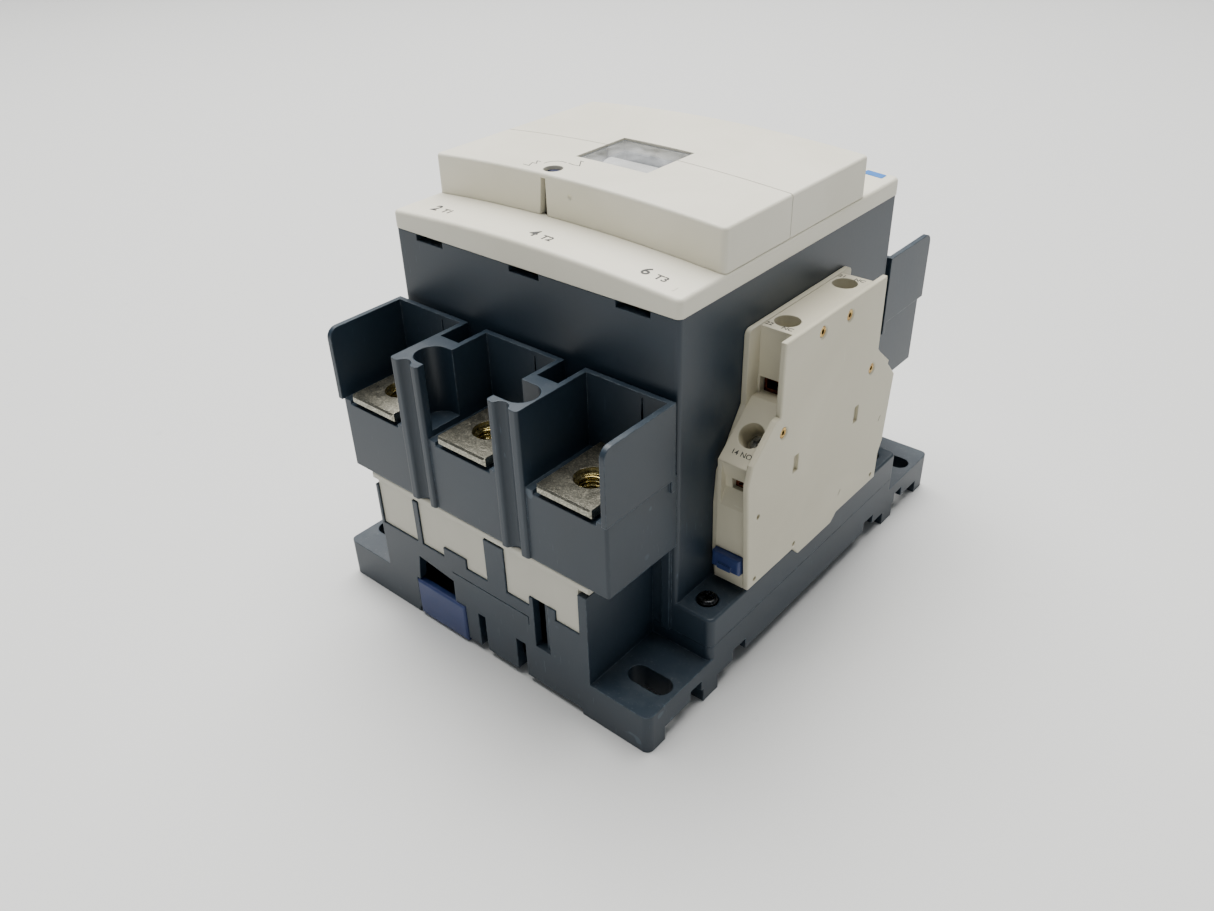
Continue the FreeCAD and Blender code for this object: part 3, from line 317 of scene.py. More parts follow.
    def _hairlines(self) -> bpy.types.NodeTree:
        """Short light scratches in two directions, from handling in a box of parts."""
        tree, pen, given, put = self._group(
            "hairline_scratches", {"Amount": 0.5}, {"Mask": "NodeSocketFloat"})
        place = pen.node("ShaderNodeTexCoord").outputs["Object"]
        lines = []
        for turn, stretch in (((0.35, 0.5, 0.2), (1.0, 16.0, 1.0)), ((-0.5, 0.25, 1.1), (14.0, 1.0, 1.0))):
            mapped = pen.node("ShaderNodeMapping", in_Rotation=turn, in_Scale=stretch)
            pen.join(place, mapped.inputs["Vector"])
            lines.append(pen.ramp(pen.noise(mapped.outputs[0], 190.0, 1.0, 0.3), 0.735, 0.775))
        where = pen.ramp(pen.noise(place, 34.0, 2.0), 0.5, 0.62)
        both = pen.math("MULTIPLY", pen.math("MAXIMUM", lines[0], lines[1]), where)
        pen.join(pen.math("MULTIPLY", both, given.outputs["Amount"], clamp=True), put.inputs["Mask"])
        return tree

    def _speckle(self) -> bpy.types.NodeTree:
        """Crystals and dark pin spots of a plated or oxidised metal."""
        tree, pen, given, put = self._group(
            "plating_speckle", {"Cells per metre": 1500.0},
            {"Light": "NodeSocketFloat", "Dark": "NodeSocketFloat", "Height": "NodeSocketFloat"})
        place = pen.node("ShaderNodeTexCoord").outputs["Object"]
        cells = pen.node("ShaderNodeTexVoronoi", feature="F1")
        pen.join(place, cells.inputs["Vector"])
        pen.join(given.outputs["Cells per metre"], cells.inputs["Scale"])
        shade = pen.node("ShaderNodeSeparateColor")
        pen.join(cells.outputs["Color"], shade.inputs[0])
        pen.join(pen.ramp(shade.outputs[0], 0.35, 1.0), put.inputs["Light"])
        pen.join(pen.ramp(pen.noise(place, 1150.0, 4.0, 0.7), 0.52, 0.66), put.inputs["Dark"])
        pen.join(cells.outputs["Distance"], put.inputs["Height"])
        return tree


EFFECTS = SharedEffects()


def new_material(name: str) -> tuple[bpy.types.Material, ShaderPen, bpy.types.Node]:
    """Empty material with its principled shader.

    Args:
        name: Name of the material.

    Returns:
        The material, a pen on its tree and the principled node.
    """
    made = bpy.data.materials.new(name)
    made.use_nodes = True
    made.node_tree.nodes.clear()
    pen = ShaderPen(made.node_tree)
    shader = pen.node("ShaderNodeBsdfPrincipled")
    out = pen.node("ShaderNodeOutputMaterial")
    pen.join(shader.outputs[0], out.inputs[0])
    return made, pen, shader


def grouped(pen: ShaderPen, tree: bpy.types.NodeTree, **values: float) -> bpy.types.Node:
    """Place a shared effect.

    Args:
        pen: Pen on the material's tree.
        tree: Group to place.
        **values: Values of its inputs, underscores for spaces.

    Returns:
        The group node.
    """
    made = pen.node("ShaderNodeGroup", node_tree=tree)
    for key, value in values.items():
        made.inputs[key.replace("_", " ")].default_value = value
    return made


@dataclass(frozen=True)
class MouldedPlastic:
    """Injection-moulded plastic with mould grain, polished edges painted lighter (partly wear, partly a
    painted highlight), faint dust and scratches.
    """

    deep: Colour
    pale: Colour
    edge: Colour
    dust: Colour
    roughness: float = 0.5
    spread: float = 0.16
    bump: float = 0.12
    grain_per_metre: float = 1500.0
    radius: float = 0.0004
    wear_and_highlight: float = 0.7
    dust_amount: float = 0.3
    scratches: float = 0.4
    coat: float = 0.0

    def build(self, name: str) -> bpy.types.Material:
        """Material of this plastic.

        Args:
            name: Name of the material.

        Returns:
            The new material.
        """
        made, pen, shader = new_material(name)
        grain = grouped(pen, EFFECTS.grain, Grain_per_metre=self.grain_per_metre)
        relief = grouped(pen, EFFECTS.relief, Radius=self.radius, Wear=self.wear_and_highlight)
        dust = grouped(pen, EFFECTS.dust, Amount=self.dust_amount)
        lines = grouped(pen, EFFECTS.hairlines, Amount=self.scratches)
        colour = pen.blend(grain.outputs["Drift"], self.deep, self.pale)
        # edges painted in the lighter edge colour: partly wear, partly a painted edge highlight
        colour = pen.blend(relief.outputs["Mask"], colour, self.edge)
        colour = pen.blend(lines.outputs["Mask"], colour, self.edge)
        colour = pen.blend(dust.outputs["Mask"], colour, self.dust)
        pen.join(colour, shader.inputs["Base Color"])
        gloss = pen.math("MULTIPLY_ADD", grain.outputs["Gloss"], self.spread)
        gloss.node.inputs[2].default_value = self.roughness - self.spread / 2
        worn = pen.math("SUBTRACT", gloss, pen.math("MULTIPLY", relief.outputs["Mask"], 0.08))
        pen.join(pen.math("ADD", worn, pen.math("MULTIPLY", dust.outputs["Mask"], 0.3), clamp=True),
                 shader.inputs["Roughness"])
        bump = pen.node("ShaderNodeBump", in_Strength=self.bump, in_Distance=0.00006)
        pen.join(grain.outputs["Height"], bump.inputs["Height"])
        pen.join(relief.outputs["Normal"], bump.inputs["Normal"])
        pen.join(bump.outputs[0], shader.inputs["Normal"])
        shader.inputs["IOR"].default_value = 1.5
        shader.inputs["Coat Weight"].default_value = self.coat
        return made


@dataclass(frozen=True)
class WorkedMetal:
    """Metal with plating crystals, pin spots, uneven gloss and bright edges, partly worn and partly a painted
    highlight.
    """

    deep: Colour
    pale: Colour
    stain: Colour
    roughness: float = 0.3
    stain_amount: float = 0.4
    bump: float = 0.25
    cells_per_metre: float = 1500.0
    radius: float = 0.00025

    def build(self, name: str) -> bpy.types.Material:
        """Material of this metal.

        Args:
            name: Name of the material.

        Returns:
            The new material.
        """
        made, pen, shader = new_material(name)
        speckle = grouped(pen, EFFECTS.speckle, Cells_per_metre=self.cells_per_metre)
        relief = grouped(pen, EFFECTS.relief, Radius=self.radius, Wear=0.8)
        place = pen.node("ShaderNodeTexCoord").outputs["Object"]
        uneven = pen.noise(place, 260.0, 3.0, 0.6)
        colour = pen.blend(speckle.outputs["Light"], self.deep, self.pale)
        stained = pen.math("MULTIPLY", speckle.outputs["Dark"], self.stain_amount)
        colour = pen.blend(stained, colour, self.stain)
        # edges painted towards the pale colour: partly wear, partly a painted edge highlight
        colour = pen.blend(relief.outputs["Mask"], colour, self.pale)
        pen.join(colour, shader.inputs["Base Color"])
        rough = pen.math("MULTIPLY_ADD", uneven, 0.22)
        rough.node.inputs[2].default_value = self.roughness - 0.11
        pen.join(pen.math("ADD", rough, pen.math("MULTIPLY", stained, 0.35), clamp=True),
                 shader.inputs["Roughness"])
        bump = pen.node("ShaderNodeBump", in_Strength=self.bump, in_Distance=0.00004)
        pen.join(pen.math("ADD", speckle.outputs["Height"], uneven), bump.inputs["Height"])
        pen.join(relief.outputs["Normal"], bump.inputs["Normal"])
        pen.join(bump.outputs[0], shader.inputs["Normal"])
        shader.inputs["Metallic"].default_value = 1.0
        return made


@dataclass(frozen=True)
class StackedSheets:
    """Parallel lines: steel sheets pressed together, or the wound wire of the coil."""

    deep: Colour
    pale: Colour
    lines_per_metre: float
    across: str
    roughness: float
    metallic: float
    coat: float = 0.0

    def build(self, name: str) -> bpy.types.Material:
        """Material with parallel lines from its stack or winding.

        Args:
            name: Name of the material.

        Returns:
            The new material.
        """
        made, pen, shader = new_material(name)
        place = pen.node("ShaderNodeTexCoord").outputs["Object"]
        wave = pen.node("ShaderNodeTexWave", bands_direction=self.across, in_Scale=self.lines_per_metre,
                        in_Distortion=0.25, in_Detail=2.0)
        pen.join(place, wave.inputs["Vector"])
        patches = pen.noise(place, 140.0, 4.0, 0.6)
        lines = pen.math("MULTIPLY", wave.outputs["Fac"], 0.6)
        share = pen.math("ADD", lines, pen.math("MULTIPLY", patches, 0.4))
        pen.join(pen.blend(share, self.deep, self.pale), shader.inputs["Base Color"])
        rough = pen.math("MULTIPLY_ADD", patches, 0.25)
        rough.node.inputs[2].default_value = self.roughness - 0.12
        pen.join(rough, shader.inputs["Roughness"])
        bump = pen.node("ShaderNodeBump", in_Strength=0.5, in_Distance=0.0001)
        pen.join(wave.outputs["Fac"], bump.inputs["Height"])
        pen.join(bump.outputs[0], shader.inputs["Normal"])
        shader.inputs["Metallic"].default_value = self.metallic
        shader.inputs["Coat Weight"].default_value = self.coat
        return made


@dataclass(frozen=True)
class ClearPane:
    """Clear polycarbonate with a faint haze and wipe marks."""

    tint: Colour
    haze: Colour = (0.93, 0.95, 0.96)
    veil: float = 0.1
    roughness: float = 0.06

    def build(self, name: str) -> bpy.types.Material:
        """Material of the pane.

        Args:
            name: Name of the material.

        Returns:
            The new material.
        """
        made, pen, shader = new_material(name)
        grain = grouped(pen, EFFECTS.grain, Grain_per_metre=900.0, Drift_per_metre=120.0)
        lines = grouped(pen, EFFECTS.hairlines, Amount=0.8)
        rough = pen.math("MULTIPLY_ADD", grain.outputs["Drift"], 0.1)
        rough.node.inputs[2].default_value = self.roughness
        hazed = pen.math("ADD", rough, pen.math("MULTIPLY", lines.outputs["Mask"], 0.3))
        pen.join(hazed, shader.inputs["Roughness"])
        pen.join(pen.blend(grain.outputs["Drift"], self.tint, self.haze), shader.inputs["Base Color"])
        bump = pen.node("ShaderNodeBump", in_Strength=0.08, in_Distance=0.00005)
        pen.join(grain.outputs["Drift"], bump.inputs["Height"])
        pen.join(bump.outputs[0], shader.inputs["Normal"])
        veil = pen.math("MULTIPLY_ADD", grain.outputs["Drift"], 0.16)
        veil.node.inputs[2].default_value = self.veil
        pen.join(pen.math("ADD", veil, pen.math("MULTIPLY", lines.outputs["Mask"], 0.2), clamp=True),
                 shader.inputs["Alpha"])
        shader.inputs["IOR"].default_value = 1.45
        return made


@dataclass(frozen=True)
class PrintedInk:
    """Pad-printed ink, a little uneven and worn through."""

    colour: Colour
    worn: Colour
    roughness: float = 0.55

    def build(self, name: str) -> bpy.types.Material:
        """Material of the ink.

        Args:
            name: Name of the material.

        Returns:
            The new material.
        """
        made, pen, shader = new_material(name)
        place = pen.node("ShaderNodeTexCoord").outputs["Object"]
        thin = pen.ramp(pen.noise(place, 2600.0, 3.0, 0.6), 0.5, 0.7)
        pen.join(pen.blend(thin, self.colour, self.worn), shader.inputs["Base Color"])
        rough = pen.math("MULTIPLY_ADD", thin, 0.2)
        rough.node.inputs[2].default_value = self.roughness
        pen.join(rough, shader.inputs["Roughness"])
        return made


@dataclass(frozen=True)
class PaleFloor:
    """Pale matt board with faint marks of use."""

    colour: Colour
    mark: Colour

    def build(self, name: str) -> bpy.types.Material:
        """Material of the floor.

        Args:
            name: Name of the material.

        Returns:
            The new material.
        """
        made, pen, shader = new_material(name)
        place = pen.node("ShaderNodeTexCoord").outputs["Object"]
        cloud = pen.ramp(pen.noise(place, 3.0, 4.0, 0.55), 0.2, 0.9)
        specks = pen.ramp(pen.noise(place, 75.0, 2.0, 0.4), 0.73, 0.8)
        faint = pen.math("MULTIPLY", cloud, 0.16)
        share = pen.math("ADD", faint, pen.math("MULTIPLY", specks, 0.25), clamp=True)
        pen.join(pen.blend(share, self.colour, self.mark), shader.inputs["Base Color"])
        rough = pen.math("MULTIPLY_ADD", cloud, 0.1)
        rough.node.inputs[2].default_value = 0.5
        pen.join(rough, shader.inputs["Roughness"])
        return made


SLATE_DUST = linear(132, 138, 138)
# the lighter edge colours below are partly wear and partly a painted edge highlight
FINISHES = {
    FinishName.SLATE: MouldedPlastic(linear(28, 42, 54), linear(34, 49, 62), linear(88, 108, 123), SLATE_DUST,
                                     roughness=0.42, wear_and_highlight=0.9, dust_amount=0.2, scratches=0.35, bump=0.16),
    FinishName.COVER: MouldedPlastic(linear(228, 224, 206), linear(235, 231, 215), linear(242, 239, 226),
                                     linear(205, 201, 186), roughness=0.48, radius=0.0005, wear_and_highlight=0.3,
                                     dust_amount=0.12, scratches=0.15),
    FinishName.STRIP: MouldedPlastic(linear(196, 193, 178), linear(204, 201, 187), linear(220, 217, 204),
                                     linear(180, 176, 162), roughness=0.5, wear_and_highlight=0.3,
                                     dust_amount=0.2, scratches=0.2),
    FinishName.AUX: MouldedPlastic(linear(204, 198, 175), linear(213, 207, 185), linear(234, 230, 214),
                                   linear(186, 178, 158), roughness=0.46, wear_and_highlight=0.3,
                                   dust_amount=0.15, scratches=0.2),
    FinishName.WINDOW: ClearPane(linear(168, 172, 176)),
    FinishName.WELL: MouldedPlastic(linear(88, 95, 106), linear(104, 111, 122), linear(150, 156, 164),
                                    linear(180, 180, 178), roughness=0.35, wear_and_highlight=0.8),
    FinishName.FLAG: MouldedPlastic(linear(206, 206, 203), linear(236, 236, 234), linear(248, 248, 246),
                                    linear(190, 190, 186), roughness=0.38, wear_and_highlight=0.3, dust_amount=0.5),
    FinishName.NAVY: MouldedPlastic(linear(20, 28, 66), linear(30, 40, 84), linear(66, 80, 128),
                                    linear(90, 96, 116), roughness=0.3, wear_and_highlight=0.8, coat=0.2),
    FinishName.BLUE: MouldedPlastic(linear(30, 48, 98), linear(38, 58, 110), linear(74, 98, 146),
                                    linear(110, 122, 140), roughness=0.42, wear_and_highlight=0.7, dust_amount=0.25),
    FinishName.LAMINATED: StackedSheets(linear(98, 98, 100), linear(176, 176, 178), 320.0, "Y", 0.38, 1.0),
    FinishName.WINDING: StackedSheets(linear(120, 54, 24), linear(196, 112, 58), 420.0, "Z", 0.3, 0.7, 0.4),
    FinishName.COPPER: WorkedMetal(linear(176, 98, 62), linear(214, 140, 98), linear(92, 52, 38)),
    FinishName.AGED_COPPER: WorkedMetal(linear(70, 34, 24), linear(112, 62, 44), linear(38, 22, 16),
                                        roughness=0.4),
    FinishName.RUBBER: MouldedPlastic(linear(22, 22, 23), linear(30, 30, 31), linear(48, 48, 49),
                                      linear(80, 80, 78), roughness=0.75, bump=0.3),
    FinishName.BOBBIN: MouldedPlastic(linear(30, 31, 33), linear(38, 39, 41), linear(66, 68, 70),
                                      linear(90, 90, 88), roughness=0.5),
    FinishName.ZINC: WorkedMetal(linear(150, 152, 152), linear(206, 207, 205), linear(88, 84, 78),
                                 roughness=0.28, stain_amount=0.5),
    FinishName.DARK_SCREW: WorkedMetal(linear(40, 41, 43), linear(84, 86, 88), linear(20, 19, 18),
                                       roughness=0.26, stain_amount=0.6),
    FinishName.YELLOW: WorkedMetal(linear(180, 162, 100), linear(232, 220, 164), linear(110, 88, 46),
                                   roughness=0.18, stain_amount=0.35, bump=0.15),
    FinishName.TIN: WorkedMetal(linear(132, 131, 120), linear(184, 180, 164), linear(88, 86, 74),
                                roughness=0.32, stain_amount=0.5, cells_per_metre=3600.0, bump=0.35,
                                radius=0.00008),
    FinishName.SILVERED: WorkedMetal(linear(190, 150, 122), linear(222, 214, 206), linear(110, 74, 56)),
    FinishName.CHUTE: WorkedMetal(linear(126, 112, 104), linear(168, 152, 142), linear(80, 56, 46),
                                  roughness=0.4),
    FinishName.FIBRE: MouldedPlastic(linear(116, 52, 36), linear(138, 66, 46), linear(168, 96, 72),
                                     linear(150, 120, 106), roughness=0.7, bump=0.35),
    FinishName.CARRIER: MouldedPlastic(linear(70, 40, 30), linear(84, 50, 38), linear(120, 82, 66),
                                       linear(120, 104, 96), roughness=0.4, bump=0.2),
    FinishName.SPRING: WorkedMetal(linear(150, 150, 152), linear(214, 214, 214), linear(92, 88, 82),
                                   roughness=0.22),
    FinishName.BRASS: WorkedMetal(linear(150, 116, 54), linear(206, 174, 100), linear(84, 60, 26),
                                  roughness=0.26),
    FinishName.SLIDER: MouldedPlastic(linear(26, 26, 28), linear(34, 34, 36), linear(62, 62, 64),
                                      linear(84, 84, 82), roughness=0.36),
    FinishName.INK: PrintedInk(linear(52, 52, 52), linear(100, 99, 95)),
    # dark strip round the window pane: painted shade of the gap between pane and lids
    FinishName.RIM: PrintedInk(linear(88, 92, 96), linear(120, 123, 126), 0.4),
    FinishName.PATCH: PrintedInk(linear(42, 116, 196), linear(74, 138, 206), 0.35),
    FinishName.FLOOR: PaleFloor(linear(222, 223, 222), linear(198, 199, 198)),
}
MATERIALS = {name: finish.build(name.value) for name, finish in FINISHES.items()}

# CAD node to finish; a name that ends in * stands for every node with that start.
NODE_FINISH = {
    "base": FinishName.SLATE,
    "housing": FinishName.SLATE,
    "insulator_*": FinishName.STRIP,
    "front_cover": FinishName.COVER,
    "lid_*": FinishName.COVER,
    "indicator_window": FinishName.WINDOW,
    "indicator_well": FinishName.WELL,
    "indicator_flag": FinishName.FLAG,
    "test_plunger": FinishName.NAVY,
    "fixed_core": FinishName.LAMINATED,
    "armature": FinishName.LAMINATED,
    "armature_pin": FinishName.ZINC,
    "shading_rings": FinishName.COPPER,
    "core_pads": FinishName.RUBBER,
    "coil_bobbin": FinishName.BOBBIN,
    "coil_winding": FinishName.WINDING,
    "coil_terminal_*": FinishName.ZINC,
    "contact_carrier": FinishName.CARRIER,
    "return_springs": FinishName.SPRING,
    "contact_spring_*": FinishName.SPRING,
    "aux_spring": FinishName.SPRING,
    "contact_bridge_*": FinishName.SILVERED,
    "aux_bridges": FinishName.SILVERED,
    "arc_chute_cheeks": FinishName.FIBRE,
    "arc_chute_*": FinishName.CHUTE,
    "terminal_block_*": FinishName.SLATE,
    "terminal_nuts_*": FinishName.YELLOW,
    "terminal_bar_*": FinishName.TIN,
    "rail_latch": FinishName.BLUE,
    "aux_latch": FinishName.BLUE,
    "housing_screws": FinishName.DARK_SCREW,
    "aux_screws": FinishName.ZINC,
    "aux_clamps": FinishName.AGED_COPPER,
    "aux_body": FinishName.AUX,
    "aux_cover": FinishName.AUX,
    "aux_eyelets": FinishName.BRASS,
    "aux_fixed_contacts": FinishName.BRASS,
    "aux_slider": FinishName.SLIDER,
}


def finish_of(node: str) -> FinishName:
    """Finish of a CAD node, by its own name first and then by the start of its name."""
    if node in NODE_FINISH:
        return NODE_FINISH[node]
    starts = [key for key in NODE_FINISH if key.endswith("*") and node.startswith(key[:-1])]
    return NODE_FINISH[max(starts, key=len)]


# ---- mesh helpers ------------------------------------------------------------------------
def mesh_of(shape: bmesh.types.BMesh, name: str, outward: bool = False) -> bpy.types.Mesh:
    """Mesh of a finished shape, which is freed.

    Args:
        shape: Shape to write.
        name: Name of the mesh.
        outward: Turn the faces of a closed shape outwards first.

    Returns:
        The new mesh.
    """
    if outward:
        bmesh.ops.recalc_face_normals(shape, faces=shape.faces)
    made = bpy.data.meshes.new(name)
    shape.to_mesh(made)
    shape.free()
    return made


def add_piece(name: str, mesh: bpy.types.Mesh, finish: FinishName, body: Body) -> bpy.types.Object:
    """Place a finished mesh in the scene.

    Args:
        name: Name of the piece.
        mesh: Its mesh, in place.
        finish: Finish it wears.
        body: Body it rides on.

    Returns:
        The new object.
    """
    made = bpy.data.objects.new(name, mesh)
    bpy.context.scene.collection.objects.link(made)
    mesh.materials.clear()
    mesh.materials.append(MATERIALS[finish])
    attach(made, body.value)
    LOG.info("piece %s: %d faces", name, len(mesh.polygons))
    return made


def crown_rise(x: float, half_x: float, rise: float) -> float:
    """Height of a circular crown above its edges.

    Args:
        x: Distance from the middle line.
        half_x: Half width of the crowned face.
        rise: Height in the middle.

    Returns:
        The rise at x.
    """
    radius = (half_x * half_x + rise * rise) / (2 * rise)
    return math.sqrt(radius * radius - x * x) - (radius - rise)


@dataclass
class CrownedFace:
    """A crowned top of the cover, given by its edge height."""

    half_x: float
    edge_z: float
    rise: float = 2.1 * MM

    def height(self, x: float) -> float:
        """Height of the face at x."""
        return self.edge_z + crown_rise(min(abs(x), self.half_x), self.half_x, self.rise)


@dataclass
class Lettering:
    """Small printed text laid on a face."""

    thickness: float = 0.05 * MM

    def mesh(self, text: str, size: float) -> bpy.types.Mesh:
        """Flat text mesh, centred on the origin.

        Args:
            text: Characters to print.
            size: Height of the font in metres.

        Returns:
            The text as a mesh in the XY plane.
        """
        curve = bpy.data.curves.new("lettering", "FONT")
        curve.body = text
        curve.size = size
        curve.align_x = "CENTER"
        curve.align_y = "CENTER"
        curve.offset = 0.014 * size
        curve.extrude = self.thickness / 2
        curve.resolution_u = 4
        holder = bpy.data.objects.new("lettering", curve)
        bpy.context.scene.collection.objects.link(holder)
        bpy.context.view_layer.update()
        shown = holder.evaluated_get(bpy.context.evaluated_depsgraph_get())
        made = bpy.data.meshes.new_from_object(shown)
        bpy.data.objects.remove(holder)
        bpy.data.curves.remove(curve)
        return made


def band(points: list[tuple[float, float]], width: float) -> tuple[list, list]:
    """Mitred sides of a line of given width.

    Args:
        points: Corners of the line.
        width: Width of the line.

    Returns:
        Left and right side points, in order.
    """
    least_slant = 0.35
    left, right = [], []
    for i, (x, y) in enumerate(points):
        before = Vector(points[max(i - 1, 0)])
        after = Vector(points[min(i + 1, len(points) - 1)])
        here = Vector((x, y))
        ahead = (after - here) if i < len(points) - 1 else (here - before)
        behind = (here - before) if i > 0 else (after - here)
        side = (ahead.normalized() + behind.normalized())
        side = Vector((-side.y, side.x)).normalized()
        stretch = 1 / max(least_slant, abs(side.dot(Vector((-ahead.y, ahead.x)).normalized())))
        left.append(tuple(here + side * width / 2 * stretch))
        right.append(tuple(here - side * width / 2 * stretch))
    return left, right


# ---- pieces --------------------------------------------------------------------------------
@dataclass
class CoverPrint:
    """Terminal numbers on the ledges, the port symbol and the coloured patch."""

    ledge: CrownedFace = field(default_factory=lambda: CrownedFace(48.8 * MM, 115.0 * MM))
    top: CrownedFace = field(default_factory=lambda: CrownedFace(48.5 * MM, 126.2 * MM))
    letters: Lettering = field(default_factory=Lettering)
    port: tuple[float, float] = (-8.0 * MM, -30.2 * MM)
    columns: Point = (-34.5 * MM, 1.8 * MM, 37.4 * MM)
    number_size: float = 5.0 * MM
    letter_size: float = 3.3 * MM

    def build(self) -> None:
        """Print every mark."""
        for i, x in enumerate(self.columns):
            for end, letter, first, y in (("load", "T", 2, -45.2 * MM), ("line", "L", 1, 43.0 * MM)):
                name = f"mark_{end}_{i + 1}"
                self._mark(name, str(2 * i + first), self.number_size, (x - 3.2 * MM, y))
                self._mark(f"{name}b", f"{letter}{i + 1}", self.letter_size, (x + 1.6 * MM, y - 0.6 * MM))
        self._symbol()
        self._patch()

    def _mark(self, name: str, text: str, size: float, spot: tuple[float, float]) -> None:
        """Print one text on a ledge.

        Args:
            name: Name of the piece.
            text: Characters.
            size: Height of the font in metres.
            spot: Centre in metres.
        """
        mesh = self.letters.mesh(text, size)
        mesh.transform(Matrix.Translation((*spot, 0)))
        for v in mesh.vertices:
            v.co.z += self.ledge.height(v.co.x) + 0.05 * MM
        add_piece(name, mesh, FinishName.INK, Body.FRAME)

    def _strip(self, name: str, corners: list[tuple[float, float]], width: float) -> None:
        """Print one line on the raised lid.

        Args:
            name: Name of the piece.
            corners: Corners of the line in metres.
            width: Width of the line in metres.
        """
        step, sunk, proud = 0.8 * MM, 0.02 * MM, 0.012 * MM
        fine = []
        for (ax, ay), (bx, by) in zip(corners, corners[1:]):
            steps = max(1, int(math.dist((ax, ay), (bx, by)) / step))
            fine += [(ax + (bx - ax) * k / steps, ay + (by - ay) * k / steps) for k in range(steps)]
        fine.append(corners[-1])
        left, right = band(fine, width)
        shape = bmesh.new()
        rows = []
        for l_point, r_point in zip(left, right):
            row = []
            for x, y in (l_point, r_point):
                z = self.top.height(x)
                row.append(shape.verts.new((x, y, z - sunk)))
                row.append(shape.verts.new((x, y, z + proud)))
            rows.append(row)
        for a, b in zip(rows, rows[1:]):
            for i, j in ((0, 1), (1, 3), (3, 2), (2, 0)):
                shape.faces.new((a[i], a[j], b[j], b[i]))
        for row in (rows[0], rows[-1]):
            shape.faces.new((row[0], row[1], row[3], row[2]))
        add_piece(name, mesh_of(shape, name, True), FinishName.INK, Body.FRAME)

    def _symbol(self) -> None:
        """Stepped line and arc round the port, a plain drawing sign; offsets in millimetres."""
        x0, y0 = self.port
        width = 0.28 * MM
        offsets = {
            "left": ((-9.4, -1.3), (-7.2, -1.5), (-8.3, 0.9), (-6.8, 0.9), (-8.2, 2.7), (-6.9, 2.7)),
            "arc": ((-5.2, 2.1), (-5.0, 3.4), (-4.4, 4.5), (-3.4, 5.3), (-2.1, 5.7), (-0.5, 5.6)),
            "right": ((0.2, 5.6), (2.4, 5.2), (4.2, 5.4), (1.8, 8.7), (2.9, 8.6))}
        for part, line in offsets.items():
            corners = [(x0 + dx * MM, y0 + dy * MM) for dx, dy in line]
            self._strip(f"port_sign_{part}", corners, width)

    def _patch(self) -> None:
        """Blue coloured patch with round corners, near the far corner of the ledge."""
        left, right, near, far = 39.6 * MM, 45.6 * MM, 46.4 * MM, 49.6 * MM
        r, lift, thick = 0.4 * MM, 0.005 * MM, 0.12 * MM
        shape = bmesh.new()
        rim = []
        for cx, cy, start in ((right - r, far - r, 0), (left + r, far - r, 90),
                              (left + r, near + r, 180), (right - r, near + r, 270)):
            for k in range(5):
                t = math.radians(start + 22.5 * k)
                rim.append((cx + r * math.cos(t), cy + r * math.sin(t)))
        low = [shape.verts.new((x, y, self.ledge.height(x) + lift)) for x, y in rim]
        high = [shape.verts.new((x, y, self.ledge.height(x) + thick)) for x, y in rim]
        shape.faces.new(high)
        shape.faces.new(list(reversed(low)))
        for i in range(len(rim)):
            j = (i + 1) % len(rim)
            shape.faces.new((low[i], low[j], high[j], high[i]))
        mesh = mesh_of(shape, "ledge_patch", True)
        add_piece("ledge_patch", mesh, FinishName.PATCH, Body.FRAME)


@dataclass
class AuxPrint:
    """Terminal numbers on the top and the sloping face of the auxiliary block."""

    letters: Lettering = field(default_factory=Lettering)
    size: float = 2.1 * MM
    top_y: float = 18.0 * MM
    top_z: float = 97.3 * MM
    slope: float = math.radians(40.6)
    slope_y: float = -34.25 * MM
    slope_z: float = 68.45 * MM
    middle_x: float = 54.6 * MM

    def build(self) -> None:
        """Print the marks of both ends; those of the line end are turned by half a turn."""
        tilt = Matrix.Rotation(self.slope, 4, "X")
        lift = Vector((0, -math.sin(self.slope), math.cos(self.slope))) * 0.04 * MM
        centre = Matrix.Translation((self.middle_x, 0, 0))
        half_turn = centre @ Matrix.Rotation(math.pi, 4, "Z") @ centre.inverted()
        for side, numbers in ((-1, ("22", "14")), (1, ("21", "13"))):
            end = "load" if side < 0 else "line"
            for part, text, x in (("a", numbers[0], 51.3), ("b", "NC", 56.5)):
                mesh = self.letters.mesh(text, self.size)
                mesh.transform(Matrix.Translation((x * MM, side * self.top_y, self.top_z + 0.02 * MM)))
                add_piece(f"aux_mark_top_{end}_{part}", mesh, FinishName.INK, Body.FRAME)
            for part, text, x in (("a", numbers[1], 53.5), ("b", "NO", 56.9)):
                mesh = self.letters.mesh(text, self.size)
                middle = Vector((x * MM, self.slope_y, self.slope_z))
                mesh.transform(Matrix.Translation(middle + lift) @ tilt)
                if side > 0:
                    mesh.transform(half_turn)
                add_piece(f"aux_mark_slope_{end}_{part}", mesh, FinishName.INK, Body.FRAME)


